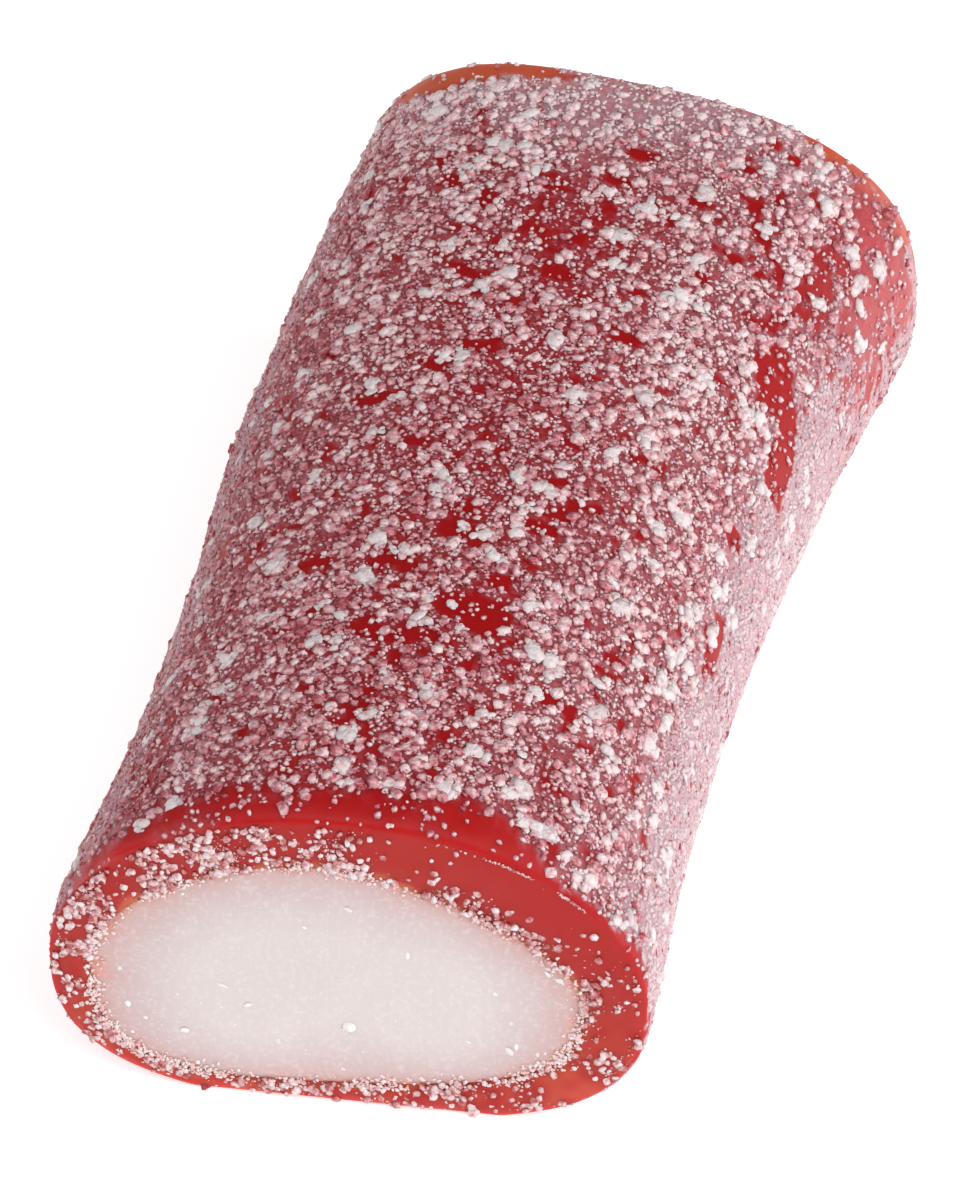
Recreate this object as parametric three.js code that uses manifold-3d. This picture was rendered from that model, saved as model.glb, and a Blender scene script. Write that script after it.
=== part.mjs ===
// Strawberry gummy rocket: a short length of soft red gummy tube with a white fondant filling that
// runs right through it, cut across at both ends and rolled in coarse sugar.
// It lies on its flattened underside, as it would on a table: +Y runs along the sweet, away from the
// cut end that shows best, +Z is up and z = 0 is the table. All sizes are millimetres.

import * as THREE from "three";
import { ParametricGeometry } from "three/addons/geometries/ParametricGeometry.js";
import { mergeVertices, toCreasedNormals } from "three/addons/utils/BufferGeometryUtils.js";
import Module from "manifold-3d";

// The gummy's outside. Half-widths and heights are taken at even stations from the near cut to the
// far one: the sides pull in at a waist, and the far right corner flares.
const LENGTH = 40.0;
const LEFT_HALF_WIDTHS = [11.0, 10.4, 10.4, 10.8, 10.5, 9.8];
const RIGHT_HALF_WIDTHS = [11.2, 10.5, 10.3, 10.5, 11.3, 12.4];
const HEIGHTS = [14.7, 14.8, 14.7, 15.3];

// The section is a superellipse, widest below its middle and cut flat where it meets the table.
// Its upper half is nearly round at the near cut and squarer at the far one.
const WIDEST_AT = 0.43; // share of the height
const SAG = 1.06; // how far the lower half would pass the table, as a multiple of its depth
const TOP_POWER_NEAR = 2.1;
const TOP_POWER_FAR = 2.75;
const UNDER_POWER = 2.6;

// Each cut pulls the top down in a rounded shoulder, and the sides in by a share of that.
const NEAR_SHOULDER = { drop: 0.7, reach: 3.8 };
const FAR_SHOULDER = { drop: 0.3, reach: 0.9 };
const SHOULDER_SIDE_SHARE = 0.35;

// The knife went through a little askew: slants turn a cut about Z, leans tip its top backwards.
const NEAR_CUT = { slant: 6.7, lean: 2.7 }; // degrees
const FAR_CUT = { slant: -1.8, lean: 1.9 };

// The bore that holds the filling, by the wall left on each side of it. It is an arch with pointed
// ends over a flat underside, and it narrows to the right.
const WALL = { left: 1.7, right: 2.6, top: 3.0, under: 1.0 };
const BORE_POWERS = { up: 1.65, down: 3.1 };
const BORE_TAPER = 0.13; // how much lower the bore is at its right end, as a share of its height

// The filling bulges a little at both cuts, with a soft edge.
const FILLING_GAP = 0.3;
const FILLING_BULGE = 0.2;
const FILLING_SOFT_EDGE = 0.5;

// The largest sugar crystals, which stand out of the gummy by a little over half.
const CRYSTALS_ON_SIDES = 200;
const CRYSTALS_ON_EACH_CUT = 8;
const CRYSTAL_RADII = { largest: 0.46, smallest: 0.3 };
const CRYSTAL_SUNK = 0.2; // depth of its middle, as a share of its own half-height

// Patches of the top with hardly any sugar: middle across and along, then half-sizes.
const BARE_PATCHES = [
  { x: 3.0, y: -18.6, halfX: 8.5, halfY: 1.3 },
  { x: 1.4, y: -8.3, halfX: 2.4, halfY: 2.2 },
  { x: 9.6, y: 9.2, halfX: 1.1, halfY: 3.4 },
  { x: 9.8, y: 14.6, halfX: 1.3, halfY: 1.4 },
  { x: 6.8, y: 12.8, halfX: 1.0, halfY: 1.3 },
];

// Fineness of the surfaces
const AROUND_STEPS = 50;
const MIDDLE_STEPS = 12;
const SHOULDER_STEPS = { near: 5, far: 3 };
const BORE_STEPS = 7;
const END_RINGS = 3;
const SAME_POINT = 1e-4;
const CREASE = THREE.MathUtils.degToRad(28);

const wasm = await Module();
wasm.setup();

const { degToRad, euclideanModulo } = THREE.MathUtils;
const fraction = (value) => euclideanModulo(value, 1);

// A smooth curve through evenly spaced stations, for a place from 0 at the first to 1 at the last.
function through(stations, place) {
  const last = stations.length - 1;
  const at = THREE.MathUtils.clamp(place * last, 0, last - 1e-9);
  const i = Math.floor(at);
  const f = at - i;
  const b = stations[i];
  const c = stations[i + 1];
  const a = i > 0 ? stations[i - 1] : 2 * b - c;
  const d = i + 2 <= last ? stations[i + 2] : 2 * c - b;
  const bend = 2 * a - 5 * b + 4 * c - d;
  const twist = 3 * b - a - 3 * c + d;
  return 0.5 * (2 * b + (c - a) * f + bend * f ** 2 + twist * f ** 3);
}

// A point of a superellipse with a half-width for each side and a half-height up and down.
function superellipse(turn, half, powers) {
  const c = Math.cos(turn);
  const s = Math.sin(turn);
  const power = s >= 0 ? powers.up : powers.down;
  const reachX = c >= 0 ? half.right : half.left;
  const reachZ = s >= 0 ? half.up : half.down;
  return {
    x: reachX * Math.sign(c) * Math.abs(c) ** (2 / power),
    z: reachZ * Math.sign(s) * Math.abs(s) ** (2 / power),
  };
}

// How far a rounded shoulder has dropped at a distance from its cut: a quarter of an ellipse.
function shoulderDrop(shoulder, distance) {
  const inward = THREE.MathUtils.clamp(1 - distance / shoulder.reach, 0, 1);
  return shoulder.drop * (1 - Math.sqrt(1 - inward ** 2));
}

// Half-widths and height of the gummy at a place along it, 0 at the near cut and 1 at the far one.
function girth(along) {
  const drop =
    shoulderDrop(NEAR_SHOULDER, along * LENGTH) + shoulderDrop(FAR_SHOULDER, (1 - along) * LENGTH);
  return {
    left: through(LEFT_HALF_WIDTHS, along),
    right: through(RIGHT_HALF_WIDTHS, along),
    height: through(HEIGHTS, along),
    drop,
  };
}

// A point of a section carried to its place along the sweet. The askew cuts fade out from the ends.
function placed(x, z, along) {
  const above = z - HEIGHTS[0] / 2;
  const near = Math.tan(degToRad(NEAR_CUT.slant)) * x + Math.tan(degToRad(NEAR_CUT.lean)) * above;
  const far = Math.tan(degToRad(FAR_CUT.slant)) * x + Math.tan(degToRad(FAR_CUT.lean)) * above;
  const y = (along - 0.5) * LENGTH + near * (1 - along) ** 2 + far * along ** 2;
  return new THREE.Vector3(x, y, z);
}

// The gummy's outside, for a share of a turn counted from +X through +Z.
function outside(around, along) {
  const { left, right, height, drop } = girth(along);
  const top = height - drop;
  const middle = top * WIDEST_AT;
  const inset = drop * SHOULDER_SIDE_SHARE;
  const half = { left: left - inset, right: right - inset, up: top - middle, down: middle * SAG };
  const powers = {
    up: TOP_POWER_NEAR + (TOP_POWER_FAR - TOP_POWER_NEAR) * along ** 2,
    down: UNDER_POWER,
  };
  const point = superellipse(around * 2 * Math.PI, half, powers);
  return placed(point.x, Math.max(middle + point.z, 0), along);
}

// The bore's wall, or with a gap, the side of what fills it.
function bore(around, along, gap = 0) {
  const { left, right, height } = girth(along);
  const low = WALL.under;
  const high = height - WALL.top;
  const start = WALL.left - left;
  const end = right - WALL.right;
  const halfWidth = (end - start) / 2;
  const halfHeight = (high - low) / 2;
  const side = halfWidth - gap;
  const rise = halfHeight - gap;
  const half = { left: side, right: side, up: rise, down: rise };
  const point = superellipse(around * 2 * Math.PI, half, BORE_POWERS);
  const taper = 1 - (BORE_TAPER * point.x) / halfWidth;
  return placed((start + end) / 2 + point.x, (low + high) / 2 + point.z * taper, along);
}

// A geometry with its shared corners merged, as a solid that can be joined and cut.
function solid(geometry) {
  geometry.deleteAttribute("normal");
  geometry.deleteAttribute("uv");
  const merged = mergeVertices(geometry, SAME_POINT);
  const corners = merged.index.array;
  const triangles = [];
  for (let i = 0; i < corners.length; i += 3) {
    const [a, b, c] = corners.slice(i, i + 3);
    if (a !== b && b !== c && c !== a) triangles.push(a, b, c);
  }
  const vertProperties = merged.attributes.position.array;
  const triVerts = new Uint32Array(triangles);
  return new wasm.Manifold(new wasm.Mesh({ numProp: 3, vertProperties, triVerts }));
}

// A solid's surface as a named mesh, smooth except over the crystals' edges and the cuts.
function named(name, shape, material) {
  const { vertProperties, triVerts } = shape.getMesh();
  const geometry = new THREE.BufferGeometry();
  geometry.setAttribute("position", new THREE.BufferAttribute(vertProperties, 3));
  geometry.setIndex(new THREE.BufferAttribute(triVerts, 1));
  const mesh = new THREE.Mesh(toCreasedNormals(geometry, CREASE), material);
  mesh.name = name;
  return mesh;
}

// A closed surface swept through rings in order; each ring is a function of the share of a turn.
// The rings are run backwards round the turn, so that the surface faces out.
function throughRings(rings) {
  const last = rings.length - 1;
  const point = (around, step, target) => {
    target.copy(rings[Math.round(step * last)](fraction(1 - around)));
  };
  return solid(new ParametricGeometry(point, AROUND_STEPS, last));
}

// Places along the sweet: close together over the shoulders, then even between them.
function placesOutside() {
  const over = (shoulder, steps) =>
    Array.from({ length: steps }, (_, i) => {
      const swing = (i / steps) * (Math.PI / 2);
      return (shoulder.reach * (1 - Math.cos(swing))) / LENGTH;
    });
  const near = over(NEAR_SHOULDER, SHOULDER_STEPS.near);
  const far = over(FAR_SHOULDER, SHOULDER_STEPS.far).map((place) => 1 - place);
  const first = NEAR_SHOULDER.reach / LENGTH;
  const span = 1 - FAR_SHOULDER.reach / LENGTH - first;
  const middle = Array.from({ length: MIDDLE_STEPS + 1 }, (_, i) => first + (span * i) / MIDDLE_STEPS);
  return [...near, ...middle, ...far.reverse()];
}

function placesInside() {
  return Array.from({ length: BORE_STEPS + 1 }, (_, i) => i / BORE_STEPS);
}

// The red tube: rings out along its outside from near to far, and back along its bore.
function gummyTube() {
  const out = placesOutside().map((along) => (around) => outside(around, along));
  const back = placesInside()
    .reverse()
    .map((along) => (around) => bore(around, along));
  return throughRings([...out, ...back, out[0]]);
}

// One end of the filling, from its centre point out to the edge of its side. Depth is how far a
// ring lies in front of the cut: the bulge, less the rounding of the soft edge.
function fillingEnd(along, outward) {
  const centre = new THREE.Vector3();
  for (let i = 0; i < AROUND_STEPS; i++) {
    centre.addScaledVector(bore(i / AROUND_STEPS, along, FILLING_GAP), 1 / AROUND_STEPS);
  }
  const ring = (share) => (around) => {
    const edge = bore(around, along, FILLING_GAP);
    const fromEdge = edge.distanceTo(centre) * (1 - share);
    const round = THREE.MathUtils.clamp(1 - fromEdge / FILLING_SOFT_EDGE, 0, 1) ** 2;
    const depth = FILLING_BULGE * (1 - share ** 2) - (FILLING_SOFT_EDGE - FILLING_BULGE) * round;
    const point = centre.clone().lerp(edge, share);
    point.y += outward * depth;
    return point;
  };
  const shares = [0, ...Array.from({ length: END_RINGS }, (_, i) => (i + 1) / (END_RINGS + 1))];
  return [...shares, 0.94, 1].map(ring);
}

// The white filling: a pole at each end, rings over the bulges, and its side between them.
function fondantFilling() {
  const side = placesInside()
    .slice(1, -1)
    .map((along) => (around) => bore(around, along, FILLING_GAP));
  return throughRings([...fillingEnd(0, -1), ...side, ...fillingEnd(1, 1).reverse()]);
}

// A repeatable draw between 0 and 1 for crystal n; each of its draws has its own channel.
function draw(n, channel) {
  return fraction(Math.sin(n * 12.9898 + channel * 78.233) * 43758.5453);
}

// A sugar crystal: twenty faces, longest along the sweet's skin, spun and tipped at random.
function crystal(n, point, outward, tangent, radius) {
  const spin = draw(n, 1) * 2 * Math.PI;
  const tip = (draw(n, 2) - 0.5) * 0.9;
  const across = new THREE.Vector3().crossVectors(outward, tangent);
  const long = tangent.clone().multiplyScalar(Math.cos(spin)).addScaledVector(across, Math.sin(spin));
  const side = new THREE.Vector3().crossVectors(outward, long);
  const up = outward.clone().multiplyScalar(Math.cos(tip)).addScaledVector(side, Math.sin(tip));
  const wide = new THREE.Vector3().crossVectors(up, long);
  const width = radius * (0.68 + 0.27 * draw(n, 3));
  const height = radius * (0.6 + 0.25 * draw(n, 4));
  const centre = point.clone().addScaledVector(outward, -CRYSTAL_SUNK * height);
  const geometry = new THREE.IcosahedronGeometry(1, 0);
  geometry.scale(radius, width, height);
  geometry.applyMatrix4(new THREE.Matrix4().makeBasis(long, wide, up).setPosition(centre));
  return solid(geometry);
}

function inBarePatch(point) {
  return BARE_PATCHES.some((patch) => {
    const across = (point.x - patch.x) / patch.halfX;
    const along = (point.y - patch.y) / patch.halfY;
    return point.z > HEIGHTS[0] / 2 && across ** 2 + along ** 2 < 1;
  });
}

// Crystals over the outside, largest first. Two steps that never repeat spread them evenly, and
// the places on the underside, in the bare patches and at the very edges are passed over.
function crystalsOnSides() {
  const crystals = [];
  for (let n = 0; crystals.length < CRYSTALS_ON_SIDES; n++) {
    const around = fraction(0.5 + n * 0.7548776662 + 0.05 * draw(n, 5));
    const along = fraction(0.5 + n * 0.569840291 + 0.03 * draw(n, 6));
    const shrink = crystals.length / CRYSTALS_ON_SIDES;
    const radius = THREE.MathUtils.lerp(CRYSTAL_RADII.largest, CRYSTAL_RADII.smallest, shrink);
    const point = outside(around, along);
    const atEdge = Math.min(along, 1 - along) * LENGTH < 2 * radius;
    if (atEdge || point.z < 1.5 * radius || inBarePatch(point)) continue;
    const tangent = outside(around, along + 0.001).sub(outside(around, along - 0.001)).normalize();
    const across = outside(around + 0.001, along).sub(outside(around - 0.001, along));
    const outward = new THREE.Vector3().crossVectors(across, tangent).normalize();
    crystals.push(crystal(n, point, outward, tangent, radius));
  }
  return crystals;
}

// Crystals on a cut, midway across the gummy's wall where that is wide enough to hold them.
function crystalsOnCut(along, outward) {
  const crystals = [];
  for (let n = 0; crystals.length < CRYSTALS_ON_EACH_CUT; n++) {
    const seed = CRYSTALS_ON_SIDES * 4 + n;
    const around = fraction(along * 0.3 + n * 0.6180339887);
    const radius = CRYSTAL_RADII.smallest;
    const rim = outside(around, along);
    const edge = bore(around, along);
    if (rim.distanceTo(edge) < 5 * radius || rim.z < 2 * radius) continue;
    const tangent = rim.clone().sub(edge).normalize();
    const point = edge.lerp(rim, 0.5);
    crystals.push(crystal(seed, point, outward, tangent, radius));
  }
  return crystals;
}

const gummyMaterial = new THREE.MeshStandardMaterial({
  color: 0xb4201c,
  roughness: 0.4,
  metalness: 0,
});
const fondantMaterial = new THREE.MeshStandardMaterial({
  color: 0xe9dedb,
  roughness: 0.75,
  metalness: 0,
});

const crystals = [
  ...crystalsOnSides(),
  ...crystalsOnCut(0, new THREE.Vector3(0, -1, 0)),
  ...crystalsOnCut(1, new THREE.Vector3(0, 1, 0)),
];
const sugaredTube = crystals.reduce((tube, grain) => tube.add(grain), gummyTube());

const sweet = new THREE.Group();
sweet.add(named("gummy_shell", sugaredTube, gummyMaterial));
sweet.add(named("fondant_core", fondantFilling(), fondantMaterial));

// The origin goes to the middle of the sweet's footprint.
const extent = new THREE.Box3().setFromObject(sweet);
const middle = extent.getCenter(new THREE.Vector3());
sweet.position.set(-middle.x, -middle.y, -extent.min.z);

const part = new THREE.Group();
part.add(sweet);

export default part;
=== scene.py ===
# Strawberry gummy rocket: a cut length of filled gummy rope rolled in coarse sugar.
# A lesson in cells: each piece is a surface worked out with numpy and finished with nodes.

# %% [markdown]
# A sugared gummy sweet.
# The sweet is a soft red tube round a white fondant filling, cut at both ends and rolled in
# coarse sugar. Three things carry its look: light that soaks into the gummy, the pale matt
# filling, and thousands of small crystals that glint, cloud and leave bare gaps.
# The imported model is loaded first. It fixes the size and place of everything that follows.

import bpy
import numpy as np
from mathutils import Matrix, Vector


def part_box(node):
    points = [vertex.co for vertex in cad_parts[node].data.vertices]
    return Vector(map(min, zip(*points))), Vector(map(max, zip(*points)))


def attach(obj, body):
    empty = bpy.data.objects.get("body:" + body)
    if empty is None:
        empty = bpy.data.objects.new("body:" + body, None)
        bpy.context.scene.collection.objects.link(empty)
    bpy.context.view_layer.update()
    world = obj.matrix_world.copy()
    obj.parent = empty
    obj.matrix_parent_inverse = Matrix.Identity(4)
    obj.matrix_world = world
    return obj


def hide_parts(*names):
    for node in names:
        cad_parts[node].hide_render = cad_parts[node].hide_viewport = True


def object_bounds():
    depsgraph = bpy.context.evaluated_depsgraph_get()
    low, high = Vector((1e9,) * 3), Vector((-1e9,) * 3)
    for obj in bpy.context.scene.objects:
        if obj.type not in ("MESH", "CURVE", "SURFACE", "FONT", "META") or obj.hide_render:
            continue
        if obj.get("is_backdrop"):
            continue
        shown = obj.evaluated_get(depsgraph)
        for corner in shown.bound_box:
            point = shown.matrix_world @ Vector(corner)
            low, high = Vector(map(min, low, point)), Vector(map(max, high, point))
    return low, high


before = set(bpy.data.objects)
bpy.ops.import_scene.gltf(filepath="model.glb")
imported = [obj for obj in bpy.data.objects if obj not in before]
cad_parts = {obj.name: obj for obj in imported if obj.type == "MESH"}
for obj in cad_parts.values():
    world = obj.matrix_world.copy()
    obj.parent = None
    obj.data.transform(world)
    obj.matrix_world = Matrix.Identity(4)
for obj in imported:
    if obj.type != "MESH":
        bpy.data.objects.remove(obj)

cad_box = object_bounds()
print("packed nodes:", sorted(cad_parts))

# %% [markdown]
# The shape of the sweet.
# The solid is a section carried along the length, so the finer surface here uses the same
# rule with the same driving sizes, in millimetres, only on a closer grid. Six half-widths on
# each side and four heights, at even stations from the near cut to the far one, give the
# waist and the flared far corner.

# %% Driving sizes
MM = 0.001

LENGTH = 40.0
LEFT_HALF_WIDTHS = [11.0, 10.4, 10.4, 10.8, 10.5, 9.8]
RIGHT_HALF_WIDTHS = [11.2, 10.5, 10.3, 10.5, 11.3, 12.4]
HEIGHTS = [14.7, 14.8, 14.7, 15.3]
WIDEST_AT = 0.43
SAG = 1.06
TOP_POWER_NEAR, TOP_POWER_FAR, UNDER_POWER = 2.1, 2.75, 2.6
NEAR_SHOULDER = {"drop": 0.7, "reach": 3.8}
FAR_SHOULDER = {"drop": 0.3, "reach": 0.9}
SHOULDER_SIDE_SHARE = 0.35
NEAR_CUT = {"slant": 6.7, "lean": 2.7}
FAR_CUT = {"slant": -1.8, "lean": 1.9}
WALL = {"left": 1.7, "right": 2.6, "top": 3.0, "under": 1.0}
BORE_POWERS = (1.65, 3.1)
BORE_TAPER = 0.13
FILLING_GAP = 0.3
FILLING_BULGE = 0.2
UNDERSIDE_LIFT = 0.12  # the gummy stands this far off the table, on the grains under it
print("sweet about", LENGTH, "mm long")


# %% [markdown]
# A superellipse is a circle whose sine and cosine are raised to a power: above two it gets
# squarer, below two its ends get pointed. One formula then gives the plump outside and the
# arch of the filling. A smooth curve through the stations carries it along the sweet.

# %% Smooth curve and superellipse
def through(stations, place):
    """Catmull-Rom curve: a cubic through evenly spaced stations, for places from 0 to 1."""
    s = np.asarray(stations, float)
    s = np.concatenate([[2 * s[0] - s[1]], s, [2 * s[-1] - s[-2]]])
    last = len(stations) - 1
    at = np.clip(np.asarray(place, float) * last, 0, last - 1e-9)
    i = at.astype(int)
    f = at - i
    a, b, c, d = s[i], s[i + 1], s[i + 2], s[i + 3]
    bend = 2 * a - 5 * b + 4 * c - d
    twist = 3 * b - a - 3 * c + d
    return 0.5 * (2 * b + (c - a) * f + bend * f**2 + twist * f**3)


def superellipse(turn, half, powers):
    """x = half-width * cos^(2/power), z = half-height * sin^(2/power), signs kept."""
    c, s = np.cos(turn), np.sin(turn)
    power = np.where(s >= 0, powers[0], powers[1])
    reach_x = np.where(c >= 0, half["right"], half["left"])
    reach_z = np.where(s >= 0, half["up"], half["down"])
    x = reach_x * np.sign(c) * np.abs(c) ** (2 / power)
    z = reach_z * np.sign(s) * np.abs(s) ** (2 / power)
    return x, z


print("right half-width half way, mm:", through(RIGHT_HALF_WIDTHS, 0.5).round(2))


# %% [markdown]
# The knife pressed the rims down and left both cuts askew. A bevel would round the rims, but
# it rounds them evenly, so a quarter of an ellipse does it here, with its own drop and reach.
# The slant and the lean of a cut move each point along the sweet, less and less inwards.

# %% Rounded rims and askew cuts
def shoulder_drop(shoulder, distance):
    """A quarter of an ellipse: the whole drop at the cut, nothing at the end of its reach."""
    inward = np.clip(1 - distance / shoulder["reach"], 0, 1)
    return shoulder["drop"] * (1 - np.sqrt(1 - inward**2))


def placed(x, z, along):
    """Carries a section point to y; the askew cuts fade out with the square of the distance."""
    above = z - HEIGHTS[0] / 2
    near, far = (
        np.tan(np.radians(cut["slant"])) * x + np.tan(np.radians(cut["lean"])) * above
        for cut in (NEAR_CUT, FAR_CUT)
    )
    y = (along - 0.5) * LENGTH + near * (1 - along) ** 2 + far * along**2
    return np.stack(np.broadcast_arrays(x, y, z), axis=-1)


cut_ends = placed(np.array([-LEFT_HALF_WIDTHS[0], RIGHT_HALF_WIDTHS[0]]), HEIGHTS[0] / 2, 0.0)
print("near cut askew by, mm:", np.ptp(cut_ends[:, 1]).round(2))


# %% [markdown]
# Two surfaces are all that the shape needs: the outside of the gummy and the side of the
# filling. Each is a function of two parameters, a share of a turn and a share of the length,
# and takes whole arrays of them, so later steps can ask it for any place.

# %% Outside and bore
def outside(around, along):
    """The gummy's skin: a superellipse cut flat underneath; around is a share of a turn."""
    around, along = np.broadcast_arrays(np.asarray(around, float), np.asarray(along, float))
    drop = shoulder_drop(NEAR_SHOULDER, along * LENGTH)
    drop = drop + shoulder_drop(FAR_SHOULDER, (1 - along) * LENGTH)
    top = through(HEIGHTS, along) - drop
    inset = drop * SHOULDER_SIDE_SHARE
    middle = top * WIDEST_AT
    half = {
        "left": through(LEFT_HALF_WIDTHS, along) - inset,
        "right": through(RIGHT_HALF_WIDTHS, along) - inset,
        "up": top - middle,
        "down": middle * SAG,
    }
    power_up = TOP_POWER_NEAR + (TOP_POWER_FAR - TOP_POWER_NEAR) * along**2
    x, z = superellipse(around * 2 * np.pi, half, (power_up, UNDER_POWER))
    return placed(x, np.maximum(middle + z, UNDERSIDE_LIFT), along)


def bore(around, along, gap=0.0):
    """The filling's side: an arch over a flat underside that gets lower to the right."""
    around, along = np.broadcast_arrays(np.asarray(around, float), np.asarray(along, float))
    start = WALL["left"] - through(LEFT_HALF_WIDTHS, along)
    end = through(RIGHT_HALF_WIDTHS, along) - WALL["right"]
    low, high = WALL["under"], through(HEIGHTS, along) - WALL["top"]
    half_width, half_height = (end - start) / 2, (high - low) / 2
    side, rise = half_width - gap, half_height - gap
    half = {"left": side, "right": side, "up": rise, "down": rise}
    x, z = superellipse(around * 2 * np.pi, half, BORE_POWERS)
    z = z * (1 - BORE_TAPER * x / half_width)
    return placed((start + end) / 2 + x, (low + high) / 2 + z, along)


half_way = outside(np.linspace(0, 1, 361), 0.5)
print("section half way, mm:", np.ptp(half_way[:, [0, 2]], axis=0).round(2))

# %% [markdown]
# The solid's origin is the middle of its footprint, while the rule above counts from the
# sweet's own axis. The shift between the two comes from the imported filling, so nothing is
# fitted by hand.

# %% Shift from the rule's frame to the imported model's frame
core_low, core_high = (np.array(corner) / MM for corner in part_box("fondant_core"))
ends = bore(np.linspace(0, 1, 201)[None, :], np.array([[0.0], [1.0]]), FILLING_GAP).reshape(-1, 3)
rule_low, rule_high = ends.min(axis=0), ends.max(axis=0)
SHIFT = np.array([core_low[0] - rule_low[0], (core_low + core_high - rule_low - rule_high)[1] / 2, 0.0])
print("shift to the packed frame, mm:", SHIFT.round(3))
print("right side agrees within, mm:", abs(core_high[0] - rule_high[0] - SHIFT[0]).round(3))


# %% [markdown]
# From arrays to meshes.
# A grid of points becomes a mesh by index arithmetic alone: the corners of every face are one
# array, so there is no loop over vertices. Triangles of loose crystals go in the same way.

# %% Mesh helpers
def mesh_object(name, points, faces, smooth=True, attributes=None, face_attributes=None):
    """Points in millimetres of the rule's frame, and faces as arrays of corner numbers, one
    array for each number of sides. Attributes hold one number a point, and face attributes
    one number a face."""
    faces = faces if isinstance(faces, list) else [faces]
    sides = np.concatenate([np.full(len(part), part.shape[1]) for part in faces])
    corners = np.concatenate([part.ravel() for part in faces])
    mesh = bpy.data.meshes.new(name)
    mesh.vertices.add(len(points))
    mesh.vertices.foreach_set("co", ((points + SHIFT) * MM).astype(np.float32).ravel())
    mesh.loops.add(len(corners))
    mesh.loops.foreach_set("vertex_index", corners.astype(np.int32))
    mesh.polygons.add(len(sides))
    mesh.polygons.foreach_set("loop_start", (np.cumsum(sides) - sides).astype(np.int32))
    mesh.polygons.foreach_set("use_smooth", np.full(len(sides), smooth))
    for domain, layers in (("POINT", attributes), ("FACE", face_attributes)):
        for key, values in (layers or {}).items():
            layer = mesh.attributes.new(key, "FLOAT", domain)
            layer.data.foreach_set("value", np.asarray(values, np.float32).ravel())
    mesh.update(calc_edges=True)
    thing = bpy.data.objects.new(name, mesh)
    bpy.context.scene.collection.objects.link(thing)
    print(f"{name}: {len(points)} points, {len(sides)} faces")
    return thing


def grid_faces(rows, columns, close_rows=False):
    """Quads between neighbouring rows, with the columns running round; optionally the last
    row joins the first."""
    row = np.arange(rows if close_rows else rows - 1)[:, None]
    column = np.arange(columns)[None, :]
    after, beside = (row + 1) % rows, (column + 1) % columns
    corners = [row * columns + column, after * columns + column]
    corners += [after * columns + beside, row * columns + beside]
    return np.stack(np.broadcast_arrays(*corners), axis=-1).reshape(-1, 4)


def fan_faces(pole, ring):
    """Triangles from a pole to each side of a ring of corner numbers."""
    return np.stack([np.full(len(ring), pole), ring, np.roll(ring, -1)], axis=-1)


print("a grid of 3 rows and 4 columns has", len(grid_faces(3, 4)), "faces")

# %% [markdown]
# Unevenness.
# Soft sweets are never quite smooth. Lattice noise gives every corner of a cubic lattice a
# fixed random height and blends between them, so it is the same on every run and works on a
# whole array of places at once.

# %% Noise
CELL_PRIMES = [73856093, 19349663, 83492791]
SEED_PRIME, MIXING_PRIME = 7919, 1274126177


def lattice_noise(points, size, seed):
    """Smooth noise from -1 to 1: random corner values blended by 3t^2 - 2t^3 on each axis."""
    p = np.asarray(points, float) / np.asarray(size, float)
    cell = np.floor(p).astype(np.int64)
    t = p - cell
    t = t * t * (3 - 2 * t)
    total = np.zeros(p.shape[:-1])
    for corner in range(8):
        step = np.array([corner & 1, corner >> 1 & 1, corner >> 2 & 1])
        key = ((cell + step) * CELL_PRIMES).sum(axis=-1) + seed * SEED_PRIME
        key = (key ^ (key >> 13)) * MIXING_PRIME & 0xFFFFFFFF
        value = ((key ^ (key >> 16)) & 0xFFFF) / 0x7FFF - 1
        total += value * np.where(step, t, 1 - t).prod(axis=-1)
    return total


def smooth_step(low, high, value):
    """0 at low and before it, 1 at high and past it, with an even S between. Where low is the
    larger of the two, the step falls."""
    t = np.clip((value - low) / (high - low), 0, 1)
    return t * t * (3 - 2 * t)


along_x = np.linspace([0, 0, 0], [2, 0, 0], 5)
print("noise every half millimetre along x:", lattice_noise(along_x, 1.0, 1).round(2))

# %% [markdown]
# How the sugar lies.
# The coat is not even. It is thick on both sides, thinner along the top, and rubbed off in a
# band at the near cut, in patches over the middle and in streaks down the right shoulder.
# One function says how much sugar a place has, from 0 to 1. The crystals are drawn from it
# and the skin takes its dusting from it, so the two always agree. Its rules are smooth steps
# in millimetres: x runs across to the right, y away from the near cut, and z up.
# The band comes first. It could be a painted mask, but a distance from the askew cut with
# noise on its edge follows the shape by itself.

# %% Band at the near cut
RIDGE = 0.25  # straight up, as a share of a turn
BAND_SEARCH = 0.2  # the share of the length in which the band is measured


def cut_band(points, ragged):
    """The strip that the knife rubbed clean: about 1 within a width from the cut, 0 past it.
    The width is broad over the top of the near cut and a thread down the sides."""
    x, y, z = points[..., 0], points[..., 1], points[..., 2]
    from_cut = y - placed(x, z, 0.0)[..., 1] + 0.8 * ragged + 0.3 * lattice_noise(points, 2.0, 17)
    left_of_coat = 1 - smooth_step(4.5, 8.0, x)
    top = smooth_step(8.5, 12.0, z)
    width = 0.05 + (0.25 + (0.8 + 0.4 * smooth_step(-1, 4, x)) * top) * left_of_coat
    hazy = smooth_step(0.0, 0.5, lattice_noise(points, (1.1, 0.6, 1.1), 16))
    hazy = hazy * (0.35 - 0.3 * smooth_step(-3.0, 2.0, x))
    return (0.97 - hazy) * (1 - smooth_step(width * 0.85, width * 1.2, from_cut))


on_ridge = cut_band(outside(RIDGE, np.linspace(0, BAND_SEARCH, 400)), 0.0)
print("band along the ridge, mm:", ((on_ridge > 0.5).mean() * BAND_SEARCH * LENGTH).round(2))

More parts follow.
